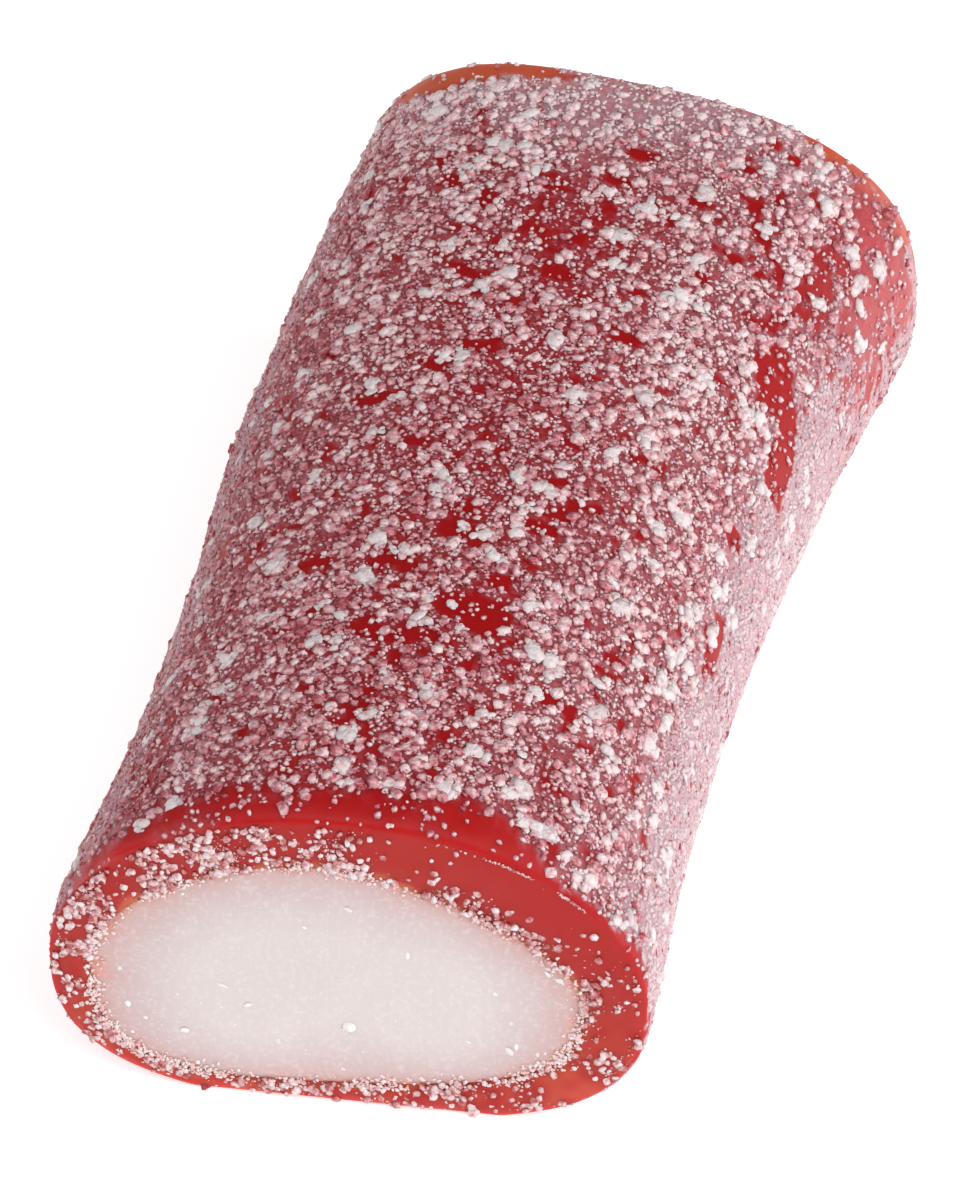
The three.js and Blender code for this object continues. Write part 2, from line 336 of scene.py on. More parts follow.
# %% [markdown]
# Where grains fell off, the red shows in ragged islands. A round hole for each would look
# stamped, so a patch is an ellipse in the plan with a strength. Noise of two sizes is added
# to the strength, and the skin is bare where the sum passes one level. That breaks a patch
# into islands and opens small gaps all along the top.

# %% Bare patches
BARE_PATCHES = [  # middle across and along, half-sizes across and along, and strength
    (2.2, -8.9, 1.2, 1.0, 0.9), (0.9, -8.6, 0.4, 0.7, 0.9), (2.4, -6.9, 0.5, 0.5, 0.9),
    (0.4, -4.9, 1.0, 0.8, 0.85), (3.1, -3.7, 0.9, 0.4, 0.95), (-1.6, -6.9, 0.8, 1.0, 0.8),
    (-0.4, -10.5, 2.2, 0.7, 0.75), (-4.9, -7.2, 1.3, 0.8, 0.6), (5.3, -11.5, 0.5, 0.4, 1.1),
    (6.2, -11.6, 0.3, 0.5, 0.9), (3.1, 0.8, 0.6, 0.3, 1.0), (9.7, -3.5, 0.22, 1.6, 0.85),
    (9.3, 1.3, 0.3, 0.6, 0.7), (9.1, 8.9, 0.75, 1.4, 0.85), (9.9, 6.4, 0.4, 2.3, 0.85),
    (9.6, 13.2, 0.75, 1.4, 0.82), (10.8, 12.8, 0.7, 1.6, 0.6), (7.0, 12.8, 0.9, 1.1, 0.7),
    (4.8, 14.6, 0.6, 0.3, 0.8), (6.1, 17.2, 0.6, 0.5, 0.8), (7.6, 18.4, 0.3, 0.4, 0.9),
    (2.1, 16.3, 0.9, 0.3, 1.1), (1.4, 14.8, 0.6, 0.35, 1.0), (1.5, 13.3, 0.4, 0.5, 0.8),
    (-3.2, 12.8, 0.5, 0.6, 0.85), (-4.8, 13.6, 0.6, 0.4, 0.8), (0.9, 11.4, 0.45, 0.35, 1.1),
    (-0.3, 11.2, 0.3, 0.7, 0.8), (0.4, 9.5, 0.7, 0.5, 0.95), (-2.7, 8.8, 0.8, 0.35, 0.8),
    (3.6, 9.4, 0.35, 0.3, 0.9), (3.9, 7.0, 0.5, 0.4, 0.75), (-1.4, 5.0, 1.0, 0.4, 0.75),
    (-4.7, 1.8, 1.0, 0.5, 0.8), (-2.4, -0.5, 0.8, 0.3, 0.8), (-1.0, -13.6, 0.6, 2.2, 0.6),
    (11.6, 15.8, 1.5, 3.6, 0.74), (-6.4, 19.7, 2.4, 0.7, 1.05), (9.8, 20.2, 2.8, 0.9, 0.9),
    (-3.6, 19.9, 2.0, 0.5, 0.9), (11.2, 18.3, 1.4, 1.6, 0.8), (8.6, 14.8, 2.4, 3.4, 0.5),
]
GAP_LEVEL, GAP_EDGE = 0.56, 0.05


def bareness(points):
    """The strongest patch's strength plus noise, read through an S that is GAP_EDGE wide on
    both sides of GAP_LEVEL. The band at the near cut is bare as well."""
    x, y, z = points[..., 0], points[..., 1], points[..., 2]
    top = smooth_step(7.5, 12.0, z)
    far_strip = smooth_step(14.0, 18.0, y) * smooth_step(-3.5, -1.5, x) * (1 - smooth_step(5.0, 7.5, x))
    strength = 0.14 + 0.20 * top - 0.25 * far_strip
    for px, py, half_x, half_y, depth in BARE_PATCHES:
        reach = np.hypot((x - px) / half_x, (y - py) / half_y)
        patch = depth * (1 - smooth_step(0.6, 1.5, reach))
        strength = np.maximum(strength, patch * smooth_step(4.0, 7.5, z))
    ragged = 0.3 * lattice_noise(points, (0.8, 0.7, 0.8), 5)
    ragged = ragged + 0.34 * lattice_noise(points, (0.36, 0.32, 0.36), 6)
    islands = smooth_step(GAP_LEVEL - GAP_EDGE, GAP_LEVEL + GAP_EDGE, strength + ragged)
    return np.maximum(islands, cut_band(points, 2 * ragged))


print(len(BARE_PATCHES), "bare patches")


# %% [markdown]
# Low on both sides the coat is packed fine, like frost, while elsewhere it lies in separate
# grains. Two kinds of grain will follow from that. The last function joins everything: the
# share of the skin that is under sugar.

# %% Frost and cover
def frost(points):
    """1 where the coat is packed fine: smooth steps low on both sides, and a little along the
    top of the far cut."""
    x, y, z = points[..., 0], points[..., 1], points[..., 2]
    right_flank = smooth_step(4.0, 10.0, x) * (1 - smooth_step(9.5, 13.5, z))
    far_strip = smooth_step(16.0, 19.0, y + 0.8 * lattice_noise(points, 1.4, 13))
    far_strip = 0.45 * far_strip * smooth_step(-3.5, 0.0, x) * (1 - smooth_step(5.5, 8.5, x))
    left_side = 0.8 * smooth_step(5.5, 9.5, -x) * (1 - smooth_step(10.5, 13.5, z))
    return np.maximum(np.maximum(right_flank, far_strip), left_side)


def sugar_cover(points):
    """Share of the skin under sugar: thick on the sides, a little thinner and clumpy on top."""
    on_top = smooth_step(8.5, 13.0, points[..., 2]) * (1 - smooth_step(12.0, 17.0, points[..., 1]))
    clumps = 0.5 + 0.5 * lattice_noise(points, (1.9, 1.5, 1.9), 12)
    return (1 - 0.35 * on_top * clumps) * (1 - bareness(points))


sample = outside(np.linspace(0, 1, 400)[None, :], np.linspace(0, 1, 300)[:, None])
print("mean sugar cover:", sugar_cover(sample).mean().round(3))

# %% [markdown]
# The red gummy.
# On the real sweet this is a soft, slightly see-through skin, one to three millimetres thick.
# A plain tube would do for the shape, but the cut needs care: its mouth is rounded where the
# knife dragged the gummy over the filling, and its face dips and swells a little. So the grid
# runs in one closed loop: along the outside, over the far cut, back through the bore and out
# over the near cut. The outside comes first, with noise that pushes it in and out along its
# normal, because a sculpted surface could not be asked for the place of a grain.

# %% Uneven skin
AROUND = 260

turn = np.arange(AROUND) / AROUND


def unit(vectors):
    """The same directions with length one."""
    return vectors / np.maximum(np.linalg.norm(vectors, axis=-1, keepdims=True), 1e-9)


def outward_normals(around, along, step=1e-3):
    """Normal and long direction of the outside: the normal is the cross product of small
    steps along and round, in that order, so that it points out."""
    round_step = outside(around + step, along) - outside(around - step, along)
    after, before = np.clip(along + step, 0, 1), np.clip(along - step, 0, 1)
    long_step = outside(around, after) - outside(around, before)
    return unit(np.cross(long_step, round_step)), unit(long_step)


def uneven_skin(around, along):
    """The outside pushed along its normal by noise: swells a few millimetres long, finer waves,
    and wrinkles at the near lip where the knife dragged. Also returns normal and long
    direction."""
    place = outside(around, along)
    normal, tangent = outward_normals(around, np.clip(along, 0.002, 0.998))
    lip = 1 - smooth_step(0, 0.05, along)
    relief = 0.07 * lattice_noise(place, 3.6, 1) + 0.035 * lattice_noise(place, 1.3, 2)
    relief = relief + 0.05 * lip * lattice_noise(place, 0.9, 3)
    from_cut = np.minimum(along, 1 - along)
    relief = relief * smooth_step(-0.02, 0.02, from_cut) * smooth_step(0.3, 2.0, place[..., 2])
    return place + normal * relief[..., None], normal, tangent


ridge, _, _ = uneven_skin(RIDGE, np.linspace(0, 1, 400))
print("ridge, from lowest to highest, mm:", ridge[:, 2].min().round(2), ridge[:, 2].max().round(2))


# %% [markdown]
# A cut face is a ring between the bore and the rim. A flat one would look machined, so it
# swells by a sine across its width and dips with noise, and a small quarter round leads from
# it into the bore.

# %% Cut faces and mouths
FACE_SWELL = 0.1
MOUTH_ROUNDING, MOUTH_ROWS = 0.05, 4


def cut_face(along, outward, shares, rim):
    """The ring of gummy at a cut, from the bore's edge (share 0) to the rim (share 1). It
    swells by a sine across its width and dips by noise."""
    inner = bore(turn, along)
    share = shares[:, None, None]
    ring = inner[None] * (1 - share) + rim[None] * share
    arch = np.sin(np.pi * shares)[:, None]
    dip = 0.06 * lattice_noise(ring, 2.2, 21) + 0.03 * lattice_noise(ring, 0.8, 22)
    ring[..., 1] += outward * arch * (FACE_SWELL + dip)
    return ring


def mouth(along, outward):
    """A quarter turn of small radius from the bore's wall to the cut face."""
    swing = np.linspace(0, np.pi / 2, MOUTH_ROWS, endpoint=False)
    inner, rim = bore(turn, along), outside(turn, along)
    rows = inner[None] + MOUTH_ROUNDING * (1 - np.cos(swing))[:, None, None] * unit(rim - inner)[None]
    rows[..., 1] += -outward * MOUTH_ROUNDING * (1 - np.sin(swing))[:, None]
    return rows


top_of_ring = np.linalg.norm(outside(RIDGE, 0.0) - bore(RIDGE, 0.0))
print("near ring's width at the top, mm:", top_of_ring.round(2))


# %% [markdown]
# The rows of the grid lie close together near the cuts, where the rims curve most. Joined in
# order they close on themselves, so the mesh needs no caps and has no open edge.

# %% Rows of the gummy
BODY_ROWS, SHOULDER_ROWS, FACE_ROWS, BORE_ROWS = 230, 9, 14, 14


def shoulder_places(shoulder):
    """Places that close up towards the cut as one minus a cosine does."""
    swing = np.linspace(0, np.pi / 2, SHOULDER_ROWS, endpoint=False)
    return shoulder["reach"] * (1 - np.cos(swing)) / LENGTH


near_places = shoulder_places(NEAR_SHOULDER)
far_places = 1 - shoulder_places(FAR_SHOULDER)[::-1]
first, last = NEAR_SHOULDER["reach"] / LENGTH, 1 - FAR_SHOULDER["reach"] / LENGTH
body_places = np.concatenate([near_places, np.linspace(first, last, BODY_ROWS), far_places])
skin, _, _ = uneven_skin(turn[None, :], body_places[:, None])

face_shares = np.linspace(0.07, 1, FACE_ROWS, endpoint=False)
bore_places = np.linspace(0.985, 0.015, BORE_ROWS)
rows = [
    skin,
    cut_face(1.0, 1, face_shares, skin[-1])[::-1],
    mouth(1.0, 1)[::-1],
    bore(turn[None, :], bore_places[:, None]),
    mouth(0.0, -1),
    cut_face(0.0, -1, face_shares, skin[0]),
]
gummy_points = np.concatenate(rows)
on_skin = np.repeat([True] + [False] * 5, [len(r) for r in rows])[:, None]
print("gummy's rows, and points round:", gummy_points.shape[:2])


# %% [markdown]
# Numbers for the gummy's finish.
# Three numbers go with every point of the gummy, and the finish reads them: how much sugar
# dust lies there, how pale that dust is, and how warm the red is. They could be painted on,
# but rules keep them in step with the grains. The first rule says where sugar clings to a
# cut, and the loose crystals there will use it again.

# %% Sugar that clings to a cut
def ring_crust(points, share):
    """How much sugar clings to a cut: most at the upper left, less underneath, hardly any on
    the smooth upper right, and more wherever the ring meets the filling (share 0)."""
    x, z = points[..., 0], points[..., 2]
    clumps = 0.7 * lattice_noise(points, 1.1, 61) + 0.5 * lattice_noise(points, 0.5, 62)
    clumps = smooth_step(-0.3, 0.3, clumps)
    upper_right = smooth_step(-2.5, 1.5, x) * smooth_step(6.0, 9.5, z)
    upper_left = smooth_step(6.5, 9.0, z) * (1 - smooth_step(-3.0, 0.5, x))
    under = 1 - smooth_step(1.5, 4.5, z)
    by_filling = 1 - smooth_step(0.1, 0.55, share)
    spread = (1 - 0.96 * upper_right) * (0.5 + 0.5 * upper_left)
    lower_left_rim = smooth_step(0.45, 0.8, share) * smooth_step(0.0, 4.0, -x)
    lower_left_rim = lower_left_rim * (1 - smooth_step(4.0, 8.0, z))
    thinned = (1 - 0.3 * under) * (1 - 0.7 * lower_left_rim)
    return np.maximum(spread, 0.75 * by_filling) * (0.12 + 0.88 * clumps) * thinned


print("mean crust at the seam:", ring_crust(bore(turn, 0.0), 0.0).mean().round(3))

# %% [markdown]
# Warmth is how orange the red is. The gummy is a deep red along the body and a brighter one at the cuts,
# mottled low on the cuts. It is painted orange where it is thinnest, at the mouth of the bore and at the
# far corners: a painted glow of light passing through the thin gummy.

# %% Warmth and painted glow
x, y, z = (gummy_points[..., i] for i in range(3))
cut_end = np.where(y < 0, 0.0, 1.0)
from_bore = np.linalg.norm(gummy_points - bore(turn[None, :], cut_end), axis=-1)
# painted glow: orange at the mouth of the bore, for light through the thin gummy
mouth_glow = 1 - smooth_step(0.0, 0.5, from_bore + 0.3 * lattice_noise(gummy_points, 0.7, 31))
mouth_glow = mouth_glow * (0.25 + 0.75 * smooth_step(3.0, 7.0, z))
# painted glow: orange at the far corners, for light through the thin gummy
far_left = smooth_step(18.2, 19.4, y) * smooth_step(10.5, 13.5, z) * (1 - smooth_step(-2.5, 0.5, x))
far_right = smooth_step(17.5, 19.6, y) * smooth_step(5.0, 8.0, x) * smooth_step(4.0, 8.0, z)
far_right_side = 0.35 * smooth_step(9.0, 17.0, y) * smooth_step(9.6, 11.2, x) * smooth_step(4.0, 8.0, z)
far_corner_glow = np.maximum(np.maximum(far_left, far_right), far_right_side)
near_band = cut_band(gummy_points, 0.0)
mottled = 0.16 * lattice_noise(gummy_points, 0.55, 32) + 0.12 * lattice_noise(gummy_points, 1.3, 33)
cut_warmth_and_glow = 0.45 + 0.55 * mouth_glow + (1 - smooth_step(2.0, 9.0, z)) * (0.15 + mottled)
warmth_and_glow = np.where(on_skin, np.maximum(0.3 * near_band, 0.9 * far_corner_glow), cut_warmth_and_glow)
print("mean warmth:", warmth_and_glow.mean().round(3))

# %% [markdown]
# The dust between the grains veils the red. It follows the coat, is thinner on the cuts, and gets paler
# where the coat is packed fine and towards the far cut. Down the sides it gets paler as well, partly
# finer dust and partly painted sheen where the skin turns away from the eye.

# %% Dust on the gummy
RING_WIDTH = 2.6
RING_DUST = 0.3

ring_share = np.clip(from_bore / RING_WIDTH, 0, 1)
far_right_veil = 0.28 * smooth_step(8.5, 11.0, x) * smooth_step(10.0, 13.0, y) * smooth_step(5.0, 8.0, z)
skin_cover = np.maximum(sugar_cover(gummy_points), far_right_veil)
cover = np.where(on_skin, skin_cover, RING_DUST * ring_crust(gummy_points, ring_share))
# paler down the sides: partly finer dust, partly painted sheen at a glancing view
side_haze_and_sheen = np.maximum(0.4 * smooth_step(1.0, 8.0, np.abs(x)), 0.75 * smooth_step(13.0, 18.0, y))
paleness = np.maximum(frost(gummy_points), side_haze_and_sheen)
gummy = mesh_object(
    "gummy_skin",
    gummy_points.reshape(-1, 3),
    grid_faces(len(gummy_points), AROUND, close_rows=True),
    attributes={"cover": cover, "warmth_and_glow": warmth_and_glow, "pale": np.where(on_skin, paleness, 0)},
)

# %% [markdown]
# The white fondant.
# The filling is one plain rod of sugar paste. What shows is its cut end: nearly flat, a touch
# domed, with a soft edge that presses against the gummy. A capped cylinder would meet the
# gummy in a hard edge, so rings shrink from the side's edge to a pole in the middle, and
# every ring has its own height. The side runs just inside the gummy's wall, so no gap shows.

# %% Fondant end
END_SHARES = np.concatenate([np.linspace(0.03, 0.9, 24), [0.93, 0.955, 0.975, 0.99, 1.0]])
SOFT_EDGE, SOFT_EDGE_DROP = 0.4, 0.03
SIDE_OVERLAP = 0.05


def filling_end(along, outward):
    """A dome: bulge * (1 - share^2), turned down over the soft edge by a square. Returns the
    rings and their distance from the edge."""
    edge = bore(turn, along, -SIDE_OVERLAP)
    centre = edge.mean(axis=0)
    share = END_SHARES[:, None]
    from_edge = np.linalg.norm(edge - centre, axis=-1)[None] * (1 - share)
    turned = np.clip(1 - from_edge / SOFT_EDGE, 0, 1) ** 2
    ring = centre + (edge - centre)[None] * share[..., None]
    waves = 0.06 * lattice_noise(ring, 3.2, 41) + 0.03 * lattice_noise(ring, 0.9, 42)
    dome = FILLING_BULGE * (1 - share**2) - SOFT_EDGE_DROP * turned
    ring[..., 1] += outward * (dome + waves * (1 - share**8))
    return ring, from_edge


(near_end, near_inward), (far_end, far_inward) = filling_end(0.0, -1), filling_end(1.0, 1)
print("fondant from edge to middle, mm:", near_inward.max().round(2))

# %% [markdown]
# One number goes with each point, its distance from the edge, because the fondant is pink at the seam
# and white in the middle. The pink is a painted glow of red light from the gummy, and the seam is also
# painted darker as shade. To the left and right it counts for less, since the painted pink reaches
# further in there.

# %% Fondant mesh
SIDE_ROWS = 12
FAR_FROM_EDGE = 9.0

side_places = np.linspace(0.01, 0.99, SIDE_ROWS)
side = bore(turn[None, :], side_places[:, None], -SIDE_OVERLAP)
filling_rings = np.concatenate([near_end, side, far_end[::-1]])
poles = np.stack([near_end[0].mean(axis=0), far_end[0].mean(axis=0)])
inward = np.concatenate([near_inward, np.zeros(side.shape[:2]), far_inward[::-1]])
inward = inward * (1 - 0.45 * smooth_step(3.0, 9.0, np.abs(filling_rings[..., 0])))
count = filling_rings.shape[0] * AROUND
first_ring, last_ring = np.arange(AROUND), np.arange(count - AROUND, count)
middles = [fan_faces(count, first_ring), fan_faces(count + 1, last_ring[::-1])]
fondant = mesh_object(
    "fondant_filling",
    np.concatenate([filling_rings.reshape(-1, 3), poles]),
    [grid_faces(len(filling_rings), AROUND)] + middles,
    attributes={"inward": np.concatenate([inward.ravel(), [FAR_FROM_EDGE] * 2])},
)

# %% [markdown]
# Where grains land.
# Sugar sticks wherever the damp gummy touched it, so the places are drawn evenly over the
# area. A sequence that steps by two irrational numbers fills the skin more evenly than plain
# chance does, and each place is kept with a chance that follows the coat.

# %% Places on the skin
STEP_ROUND, STEP_ALONG = 0.7548776662, 0.5698402910
JITTER = 0.3
TYPICAL_SECTION = 0.4


def even_turn(share):
    """Shares of the way round, by true length, as shares of a turn: the length travelled
    round a typical section, in half-degree steps, is read as a table."""
    places = np.linspace(0, 1, 721)
    ring = outside(places, TYPICAL_SECTION)
    travelled = np.concatenate([[0], np.cumsum(np.linalg.norm(np.diff(ring, axis=0), axis=-1))])
    return np.interp(share, travelled / travelled[-1], places)


def sow_on_skin(candidates, chance, draw):
    """Places, normals and long directions on the skin. A candidate stays when a random number
    is under its chance."""
    number = np.arange(candidates)
    around = even_turn((0.5 + number * STEP_ROUND + JITTER * draw.random(candidates)) % 1)
    along = (0.5 + number * STEP_ALONG + JITTER * draw.random(candidates)) % 1
    kept = draw.random(candidates) < chance(outside(around, along))
    return uneven_skin(around[kept], along[kept])


print("turns a quarter, half and three quarters of the way:", even_turn([0.25, 0.5, 0.75]).round(3))


# %% [markdown]
# A grain lies on the skin as it fell: turned any way about the skin's normal, and tipped a
# little. Three directions at right angles hold that for every grain at once, where an object
# for each grain with its own rotation would make tens of thousands of objects.

# %% Directions of the grains
def frames_about(normal, tangent, tilt, draw):
    """Three unit directions a grain: long, wide and up. It is spun about the normal by any
    angle and tipped by a bell curve of angles."""
    count = len(normal)
    across = np.cross(normal, tangent)
    spin = draw.uniform(0, 2 * np.pi, count)[:, None]
    long = tangent * np.cos(spin) + across * np.sin(spin)
    wide = np.cross(normal, long)
    lean = np.tan(np.clip(draw.normal(0, tilt, (2, count, 1)), -1, 1))
    up = unit(normal + long * lean[0] + wide * lean[1])
    wide = unit(np.cross(up, long))
    return np.stack([np.cross(wide, up), wide, up], axis=1)


# %% [markdown]
# One grain.
# Under a glass, a sugar crystal is a stubby box with its corners cut off: 12 corners and 14
# flat faces. Repeated thousands of times it must stay that simple, and a bevelled cube has
# more faces for the same look. Smaller grains show less of their form, so they get simpler
# ones. The numbers of each shape say which triangles lie in one flat side.

# %% Crystal shapes
OCTAHEDRON_REACH = 1.25


def facing_out(points, faces, facets):
    """Turns round each triangle whose normal points at the middle. The facet numbers say
    which triangles lie in one flat side."""
    points, faces = np.array(points, float), np.array(faces)
    a, b, c = (points[faces[:, i]] for i in range(3))
    inward = (np.cross(b - a, c - a) * (a + b + c)).sum(axis=-1) < 0
    faces[inward] = faces[inward][:, ::-1]
    return points, faces, np.array(facets)


def cut_corner_box():
    """The middles of a box's twelve edges. Its eight corners become triangles and its six
    sides become squares, split in two."""
    pairs = [(a, b) for a in (-1, 1) for b in (-1, 1)]
    points = [(a, b, 0) for a, b in pairs] + [(a, 0, b) for a, b in pairs]
    points += [(0, a, b) for a, b in pairs]
    number = {point: i for i, point in enumerate(points)}
    corners = [(a, b, c) for a, b in pairs for c in (-1, 1)]
    faces = [[number[(a, b, 0)], number[(a, 0, c)], number[(0, b, c)]] for a, b, c in corners]
    facets = list(range(8))
    for axis in range(3):
        for side in (-1, 1):
            ring = [(side, -1, 0), (side, 0, 1), (side, 1, 0), (side, 0, -1)]
            a, b, c, d = (number[tuple(int(v) for v in np.roll(corner, axis))] for corner in ring)
            faces += [[a, b, c], [a, c, d]]
            facets += [facets[-1] + 1] * 2
    return facing_out(points, faces, facets)


def six_sided_pebble():
    """Two six-sided pyramids base to base: a rounded grain from above, for twelve faces."""
    swing = np.arange(6) * np.pi / 3
    points = np.stack([np.cos(swing), np.sin(swing), 0.15 * np.cos(3 * swing)], axis=-1)
    points = np.concatenate([points, [[0.1, 0.05, 1], [0, 0, -1]]])
    rim = np.arange(6)
    faces = np.concatenate([fan_faces(6, rim), fan_faces(7, rim)])
    return facing_out(points, faces, np.arange(12))


def eight_sided():
    """An octahedron, for grains too fine to show more. It reaches a little past radius one,
    because its sides cut so much away."""
    points = np.array([[1, 0, 0], [-1, 0, 0], [0, 1, 0], [0, -1, 0], [0, 0, 1], [0, 0, -1]])
    faces = [[a, b, c] for a in (0, 1) for b in (2, 3) for c in (4, 5)]
    return facing_out(points * OCTAHEDRON_REACH, faces, np.arange(8))


for shape in (cut_corner_box(), six_sided_pebble(), eight_sided()):
    print("crystal with", len(shape[0]), "corners and", len(shape[1]), "triangles")


# %% [markdown]
# A caked lump is rounder than a crystal. A globe of rings and meridians would crowd its faces
# at two poles, so the ball is made from a cube, whose faces stay nearly one size.

# %% Lump shape
def round_lump():
    """A ball from a cube: a block of 3 by 3 by 3 points without its middle, pushed out to
    radius one. Each of its six sides is a grid of 2 by 2 squares, split in two."""
    block = np.stack(np.meshgrid([-1, 0, 1], [-1, 0, 1], [-1, 0, 1], indexing="ij"), axis=-1)
    kept = np.abs(block).max(axis=-1) > 0
    number = np.full(kept.shape, -1)
    number[kept] = np.arange(kept.sum())
    faces = []
    for axis in range(3):
        for side in (0, 2):
            grid = np.take(number, side, axis)
            a, b, c, d = grid[:-1, :-1], grid[1:, :-1], grid[1:, 1:], grid[:-1, 1:]
            faces += [np.stack(half, axis=-1).reshape(-1, 3) for half in ([a, b, c], [a, c, d])]
    faces = np.concatenate(faces)
    return facing_out(unit(block[kept].astype(float)), faces, np.arange(len(faces)))


print("lump with", len(round_lump()[0]), "corners and", len(round_lump()[1]), "triangles")


# %% [markdown]
# Thousands of copies could be instances, but instances are all alike. As plain arrays every
# copy gets its own proportions, slightly moved corners and a tone, so no two glint alike. The
# finish reads the tone and the height above the grain's foot.

# %% Copies of a grain
def grains(name, shape, place, frame_of, size, draw, sunk=0.3, roughen=0.14, bias=0.0,
           shares=(0.45, 0.35, 0.2), smooth=False):
    """Copies of a shape: size holds half-lengths, sunk the share of the height that is under the
    surface, and roughen how far each corner moves, as a share of its distance. A flat side's tone mixes
    the grain's own, the side's own and how steeply the side stands, by the three shares, because a top
    shows the gummy through it, while a steep side is painted lighter, a painted reflection of the light
    it throws back. Rise goes from 0 at a grain's foot to 1 at its top. No corner goes below the table."""
    points, faces, facets = shape
    count = len(place)
    own = points[None] * size[:, None, :]
    own = own * (1 + roughen * draw.uniform(-1, 1, (count, len(points), 1)))
    lift = size[:, 2] * (1 - 2 * sunk)
    world = place[:, None, :] + np.einsum("nij,njk->nik", own, frame_of)
    world = world + (frame_of[:, 2] * lift[:, None])[:, None, :]
    world[..., 2] = np.maximum(world[..., 2], 0.0)
    a, b, c = (own[:, faces[:, i]] for i in range(3))
    # painted reflection: the steeper a side, the lighter it is painted
    steep_sheen = 1 - np.abs(unit(np.cross(b - a, c - a))[..., 2])
    grain_tone = draw.random((count, 1))
    side_tone = draw.random((count, facets.max() + 1))[:, facets]
    tone = shares[0] * grain_tone + shares[1] * side_tone + shares[2] * steep_sheen
    tone = tone + np.reshape(bias, (-1, 1))
    rise = (points[:, 2] / points[:, 2].max() + 1) / 2
    return mesh_object(
        name,
        world.reshape(-1, 3),
        (faces[None] + (np.arange(count) * len(points))[:, None, None]).reshape(-1, 3),
        smooth=smooth,
        attributes={"rise": np.tile(rise, count)},
        face_attributes={"tone": tone},
    )


def grain_sizes(low, high, count, draw, flat=(0.3, 0.5)):
    """Half-lengths: the long side between two limits, more often near the low one, the wide
    side 0.65 to 0.95 of it, and the height between the flat limits of it."""
    long = low + (high - low) * draw.random(count) ** 1.3
    wide = long * draw.uniform(0.65, 0.95, count)
    return np.stack([long, wide, long * draw.uniform(*flat, count)], axis=1)


# %% [markdown]
# The sugar on the skin.
# Four sizes of loose grain make the coat, as four sieves would sort them. The coarse and the
# medium ones do the glinting, and the two small ones fill between them. Frost lies where the
# coat is packed, and strays stand apart on the bare gummy. A painted map could steer all
# three, but a chance worked out from the coat keeps them and the skin in step.

# %% Chances of the grains
def coat_chance(place):
    """The chance that a place keeps its grain: the coat, and fewer grains underneath."""
    return sugar_cover(place) * (0.2 + 0.8 * smooth_step(0.2, 2.5, place[..., 2]))


def loose_chance(place):
    """The coat's chance, thinned out where frost takes over."""
    return coat_chance(place) * (1 - 0.9 * frost(place))


def frost_chance(place):
    """The coat's chance, only where the coat is packed."""
    return coat_chance(place) * frost(place)


def stray_chance(place):
    """What the coat leaves bare, fewer in the near band and at the far rim, none low down."""
    in_band = cut_band(place, 0.0)
    at_far_rim = smooth_step(17.5, 19.0, place[..., 1])
    thinned = (1 - 0.7 * in_band) * (1 - 0.5 * at_far_rim)
    return (1 - sugar_cover(place)) * smooth_step(4.0, 7.0, place[..., 2]) * thinned


for kind, chance in (("loose", loose_chance), ("frost", frost_chance), ("stray", stray_chance)):
    print(kind, "grains, mean chance:", chance(sample).mean().round(3))


# %% [markdown]
# Where a grain lies also changes how it looks. On the real sweet the coat drifts from pinker to whiter,
# the grains were pressed in deeper where the sweet was rolled, and they stand taller on the right
# shoulder. The grains are also painted whiter on the right, a painted light, and darker down the left
# side, a painted shade. One function for each keeps those effects apart.

# %% Look of the grains
def whiteness_and_side_light(place):
    """How much whiter the grains are: whiter and pinker drifts about a millimetre wide, paler at the far
    edge, duller at the far right, painted light that makes them whiter to the right, and painted shade
    that makes them darker down the left side."""
    drifts = 0.17 * lattice_noise(place, 0.9, 14) + 0.13 * lattice_noise(place, 0.45, 15)
    x, y = place[..., 0], place[..., 1]
    far_edge = 0.25 * smooth_step(16.0, 19.0, y) * (1 - smooth_step(4.0, 7.0, x))
    far_edge = far_edge + 0.1 * smooth_step(-2.0, 12.0, y)
    # painted light and shade: grains on the right painted whiter, grains down the left side painted
    # darker
    right_side_light = 0.1 * smooth_step(1.0, 8.0, x) * (1 - smooth_step(6.0, 13.0, y))
    sides = right_side_light - 0.37 * smooth_step(6.0, 10.5, -x)
    far_right = smooth_step(8.5, 10.5, x) * smooth_step(9.0, 13.0, y)
    return drifts + far_edge + sides - 0.2 * far_right


def depth_in_skin(place):
    """The share of a grain under the skin: more low down and on the left side, where the sweet
    was rolled, and at the far rim, where the knife pressed."""
    rolled = np.maximum(1 - smooth_step(6.0, 11.5, place[..., 2]), smooth_step(8.0, 9.8, -place[..., 0]))
    at_far_rim = smooth_step(18.0, 19.5, place[..., 1])
    return 0.45 + 0.2 * np.maximum(rolled, at_far_rim)


def plumpness(place):
    """How much taller grains stand: up to 1.8 times on the right shoulder, where fewer were
    pressed in."""
    return 1 + 0.8 * smooth_step(7.0, 10.0, place[..., 0]) * smooth_step(7.0, 10.0, place[..., 2])


print("depth in the skin, from and to:", depth_in_skin(sample).min(), depth_in_skin(sample).max())

# %% [markdown]
# The loose grains are drawn one size at a time. All chance comes from one seeded source, so
# every run draws the same sweet. Finer grains tip more, as nothing presses them flat.

# %% Loose sugar
GRAIN_BRIGHTNESS = 0.12

